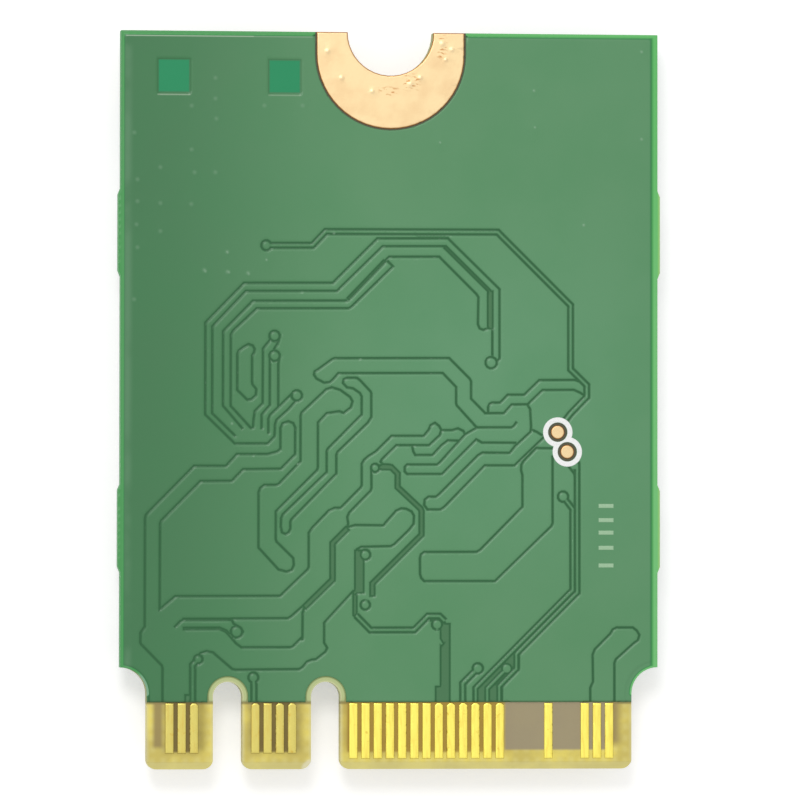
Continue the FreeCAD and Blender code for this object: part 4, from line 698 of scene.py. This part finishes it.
def contact_material(name, gold_hex):
    """Hard gold: bright and yellow, with fine lengthwise wipe marks, small pits and painted shade on its
    sides.

    Real wipe marks are finer, so they are drawn as wide as it takes to show."""
    material, tree, place = start_material(name)
    edge = add(tree, "Attribute", attribute_name="edge").outputs["Fac"]
    lengthwise = add(tree, "Mapping", {"Vector": place, "Scale": (1.0, 0.12, 1.0)}).outputs["Vector"]
    wipe = add(tree, "TexNoise", {"Vector": lengthwise, "Scale": per_mm(0.09), "Detail": 3.0}).outputs["Fac"]
    pits = add(tree, "TexNoise", {"Vector": place, "Scale": per_mm(0.35), "Detail": 5.0}).outputs["Fac"]
    colour = coat(tree, gold_hex, CONTACT_WEAR, (wipe, 0.4, 0.8), strength=0.3)
    colour = coat(tree, colour, CONTACT_WEAR, (pits, 0.62, 0.72), strength=0.5)
    colour = coat(tree, colour, CONTACT_SIDE_SHADE, (edge, 0.014, 0.0))
    end_material(tree, colour, wipe, 0.2, 0.01, {"Metallic": 1.0, "Roughness": 0.36})
    return material


hard_gold = contact_material("hard_gold_over_nickel", CONTACT_GOLD)
# The left and middle rows get a paler, duller copy of the same gold: a painted weaker reflection.
pale_gold = contact_material("hard_gold_painted_dull_reflection", CONTACT_PALE)
for group, gold in (("left", pale_gold), ("middle", pale_gold), ("main", hard_gold)):
    plated_piece("back_contacts_" + group, "contacts_back_" + group, FILM_LOW, PAD_FACE, gold,
                 step=0.15, spacing=0.12)

# Component side: the same film over the same copper, and the pad, the contacts and the antenna ports
# in the same platings. They hang under the card as it lies, so they keep CAD's own forms.

UNDER_TARNISH = "dcae5c"
UNDER_DEEP = "e8cf58"

# The same lacquer on the far side, without grooves to show: even green with a slight orange peel.
under_film, tree, place = start_material("cured_liquid_solder_mask_under")
cloud = add(tree, "TexNoise", {"Vector": place, "Scale": per_mm(3.0), "Detail": 3.0}).outputs["Fac"]
colour = coat(tree, OVER_COPPER_LEFT, OVER_COPPER_RIGHT, (cloud, 0.3, 0.8))
peel = add(tree, "TexNoise", {"Vector": place, "Scale": per_mm(0.5), "Detail": 2.0}).outputs["Fac"]
end_material(tree, colour, peel, 0.15, 0.02, {"Roughness": 0.35, "IOR": 1.42})
dress(under_film, "mask", "mask_front")


def gold_material(name, main, second):
    """Satin gold plate of two close colours, softly clouded and unworn."""
    material, tree, place = start_material(name)
    tarnish = add(tree, "TexNoise", {"Vector": place, "Scale": per_mm(0.6), "Detail": 4.0}).outputs["Fac"]
    colour = coat(tree, main, second, (tarnish, 0.35, 0.75))
    end_material(tree, colour, tarnish, 0.2, 0.01, {"Metallic": 1.0, "Roughness": 0.38})
    return material


dress(gold_material("immersion_gold_under", PAD_GOLD, UNDER_TARNISH), "gold", "screw_pad_front",
      "port_left_shell", "port_left_pin", "port_right_shell", "port_right_pin")
dress(gold_material("hard_gold_under", CONTACT_PALE, UNDER_DEEP), "gold",
      "contacts_front_left", "contacts_front_middle", "contacts_front_main")

# Shield: a fence folded from tin-plated sheet and soldered to the board, and a shallow lid pressed
# from the same sheet, which clips over it. The rolled sheet shows fine streaks along X.

TIN = "c9c6bf"
TIN_DULL = "a5a29b"
STREAK = 0.06

# Bright tin on rolled sheet: grey-white metal, streaked one way and clouded where it was handled.
# Real rolling marks are finer, so the streaks are drawn as wide as it takes to show.
tin, tree, place = start_material("tin_plated_rolled_sheet")
rolled = add(tree, "Mapping", {"Vector": place, "Scale": (0.04, 1.0, 1.0)}).outputs["Vector"]
streak = add(tree, "TexNoise", {"Vector": rolled, "Scale": per_mm(STREAK), "Detail": 3.0}).outputs["Fac"]
smear = add(tree, "TexNoise", {"Vector": place, "Scale": per_mm(4.0), "Detail": 4.0}).outputs["Fac"]
colour = coat(tree, TIN, TIN_DULL, (streak, 0.3, 0.7), strength=0.5)
clouded = {0: smear, 1: 0.3, 2: 0.7, 3: 0.26, 4: 0.42}
rough = add(tree, "MapRange", clouded, interpolation_type="SMOOTHSTEP").outputs[0]
end_material(tree, colour, streak, 0.15, 0.01, {"Metallic": 1.0, "Roughness": rough})
dress(tin, "tin_sheet", "shield_fence", "shield_lid", "crystal_lid")

# Reflowed solder: beads at the foot of the fence and the wetted ends of the small parts. It set from
# the melt, which leaves it bright with a fine crust.

SOLDER = "c4c4c2"
SOLDER_CRUST = "9a9a9a"

# Tin alloy as it froze: a bright silver metal, dulled in fine patches where its skin crusted.
solder, tree, place = start_material("reflowed_solder")
crust = add(tree, "TexNoise", {"Vector": place, "Scale": per_mm(0.2), "Detail": 4.0}).outputs["Fac"]
colour = coat(tree, SOLDER, SOLDER_CRUST, (crust, 0.35, 0.7))
end_material(tree, colour, crust, 0.4, 0.02, {"Metallic": 1.0, "Roughness": 0.3})
dress(solder, "solder", "fence_solder", "capacitor_ends", "resistor_ends")

# Moulded, fired and pressed parts of the component side: port bases, chips, filters, coils, the
# crystal's tray and the small capacitors and resistors. Each has its own matt grain.


def grainy_material(name, main, second, grain_size, roughness, relief_strength):
    """A matt material of two close colours in grains of one size.

    Real grains are finer than a pixel, so they are drawn as coarse as it takes to show."""
    material, tree, place = start_material(name)
    size = {"Vector": place, "Scale": per_mm(grain_size), "Detail": 4.0}
    grain = add(tree, "TexNoise", size).outputs["Fac"]
    colour = coat(tree, main, second, (grain, 0.35, 0.65))
    end_material(tree, colour, grain, relief_strength, 0.01, {"Roughness": roughness})
    return material


# Moulded liquid crystal polymer: ivory, faintly mottled by its short glass fibres.
dress(grainy_material("glass_filled_liquid_crystal_polymer", "d9d5c6", "c6c1b0", 0.15, 0.55, 0.3),
      "moulding", "port_left_base", "port_right_base")
# Silica-filled epoxy: near black and dull, like fine sandpaper.
dress(grainy_material("moulded_epoxy_compound", "1d1d1e", "2a2a2b", 0.08, 0.55, 0.5), "epoxy",
      "radio_chip", "front_end_left", "front_end_right", "resistor_bodies")
# Unglazed alumina: pale grey and chalky.
dress(grainy_material("fired_alumina", "b9b6a8", "a29f92", 0.1, 0.6, 0.3), "ceramic",
      "filter_left", "filter_right", "crystal_base")
# Pressed ferrite: dark grey, with a slight sheen on its grains.
dress(grainy_material("pressed_ferrite", "3a3a3b", "2c2c2e", 0.07, 0.5, 0.5), "ferrite",
      "coil_left", "coil_right")
# Fired titanate: tan brown, smooth and close-grained.
dress(grainy_material("fired_titanate_dielectric", "8d6a4c", "7a593e", 0.06, 0.5, 0.3), "dielectric",
      "capacitor_bodies")

# Table: a plain white surface on which the card lies. It glows a little for camera, mirror and
# through-glass rays only, so that its unshaded part shows pure white and the card's shadow stays.

TABLE_HALF = 0.6
TABLE_GLOW = 0.45


def seen_directly(tree):
    """1 for camera, mirror and through-glass rays, and 0 for the rays that light the card."""
    path = add(tree, "LightPath").outputs
    camera_or_mirror = {0: path["Is Camera Ray"], 1: path["Is Glossy Ray"]}
    seen = add(tree, "Math", camera_or_mirror, operation="MAXIMUM").outputs[0]
    return add(tree, "Math", {0: seen, 1: path["Is Transmission Ray"]}, operation="MAXIMUM").outputs[0]


# Matt white laminate: it spreads light evenly and mirrors nothing, so the shadow keeps soft edges.
white, tree, _ = start_material("matt_white_table")
matt = add(tree, "BsdfDiffuse", {"Color": (0.8, 0.8, 0.8, 1)})
strength = cover(tree, seen_directly(tree), strength=TABLE_GLOW)
glow = add(tree, "Emission", {"Color": (1, 1, 1, 1), "Strength": strength})
both = add(tree, "AddShader", {0: matt.outputs[0], 1: glow.outputs[0]})
add(tree, "OutputMaterial", {"Surface": both.outputs[0]})
corners = [(x * TABLE_HALF, y * TABLE_HALF, 0) for x, y in ((-1, -1), (1, -1), (1, 1), (-1, 1))]
table_mesh = bpy.data.meshes.new("table")
table_mesh.from_pydata(corners, [], [(0, 1, 2, 3)])
table_mesh.materials.append(white)
table = bpy.data.objects.new("table", table_mesh)
scene = bpy.context.scene
scene.collection.objects.link(table)
table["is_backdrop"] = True

# Light: an even white surround, and one soft lamp from the card's upper left, as in a photographer's
# light tent.

SURROUND = 0.65
KEY_POWER = 0.24
KEY_SIZE = 0.10
KEY_DISTANCE = 0.30
KEY_DIRECTION = Vector((-0.20, 0.48, 1.0))

world = bpy.data.worlds.new("white_surround")
world.use_nodes = True
tree = world.node_tree
tree.nodes.clear()
strength = add(tree, "MapRange", {0: seen_directly(tree), 3: SURROUND, 4: 1.0}).outputs[0]
sky = add(tree, "Background", {"Color": (1, 1, 1, 1), "Strength": strength})
add(tree, "OutputWorld", {"Surface": sky.outputs[0]})
scene.world = world

key_light = bpy.data.lights.new("soft_key", "AREA")
key_light.shape = "DISK"
key_light.size = KEY_SIZE
key_light.energy = KEY_POWER
key = bpy.data.objects.new("soft_key", key_light)
key.location = KEY_DIRECTION.normalized() * KEY_DISTANCE
key.rotation_euler = KEY_DIRECTION.to_track_quat("Z", "Y").to_euler()
scene.collection.objects.link(key)

# Camera: straight over the card with a long lens, a little to its left and turned slightly. The
# frame's width and centre are those of the photo, in millimetres on the card's upper face.

CAMERA_DISTANCE = 0.30
CAMERA_YAW = math.radians(6.63)
CAMERA_PITCH = math.radians(1.42)
CAMERA_ROLL = math.radians(0.05)
FRAME_CENTRE = Vector((0.395, 0.017, 2.10)) * MM
FRAME_WIDTH = 32.577 * MM
SENSOR = 36.0

camera_data = bpy.data.cameras.new("camera")
camera_data.sensor_width = SENSOR
camera_data.lens = SENSOR * CAMERA_DISTANCE / FRAME_WIDTH
camera_data.clip_start = 0.01
camera_data.clip_end = 10.0
camera = bpy.data.objects.new("camera", camera_data)
tilt = Matrix.Rotation(CAMERA_PITCH, 4, "X") @ Matrix.Rotation(CAMERA_ROLL, 4, "Z")
turn = Matrix.Rotation(-CAMERA_YAW, 4, "Y") @ tilt
back_off = Matrix.Translation((0, 0, CAMERA_DISTANCE))
camera.matrix_world = Matrix.Translation(FRAME_CENTRE) @ turn @ back_off
scene.collection.objects.link(camera)
scene.camera = camera
scene.view_settings.view_transform = "Standard"

low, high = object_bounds()
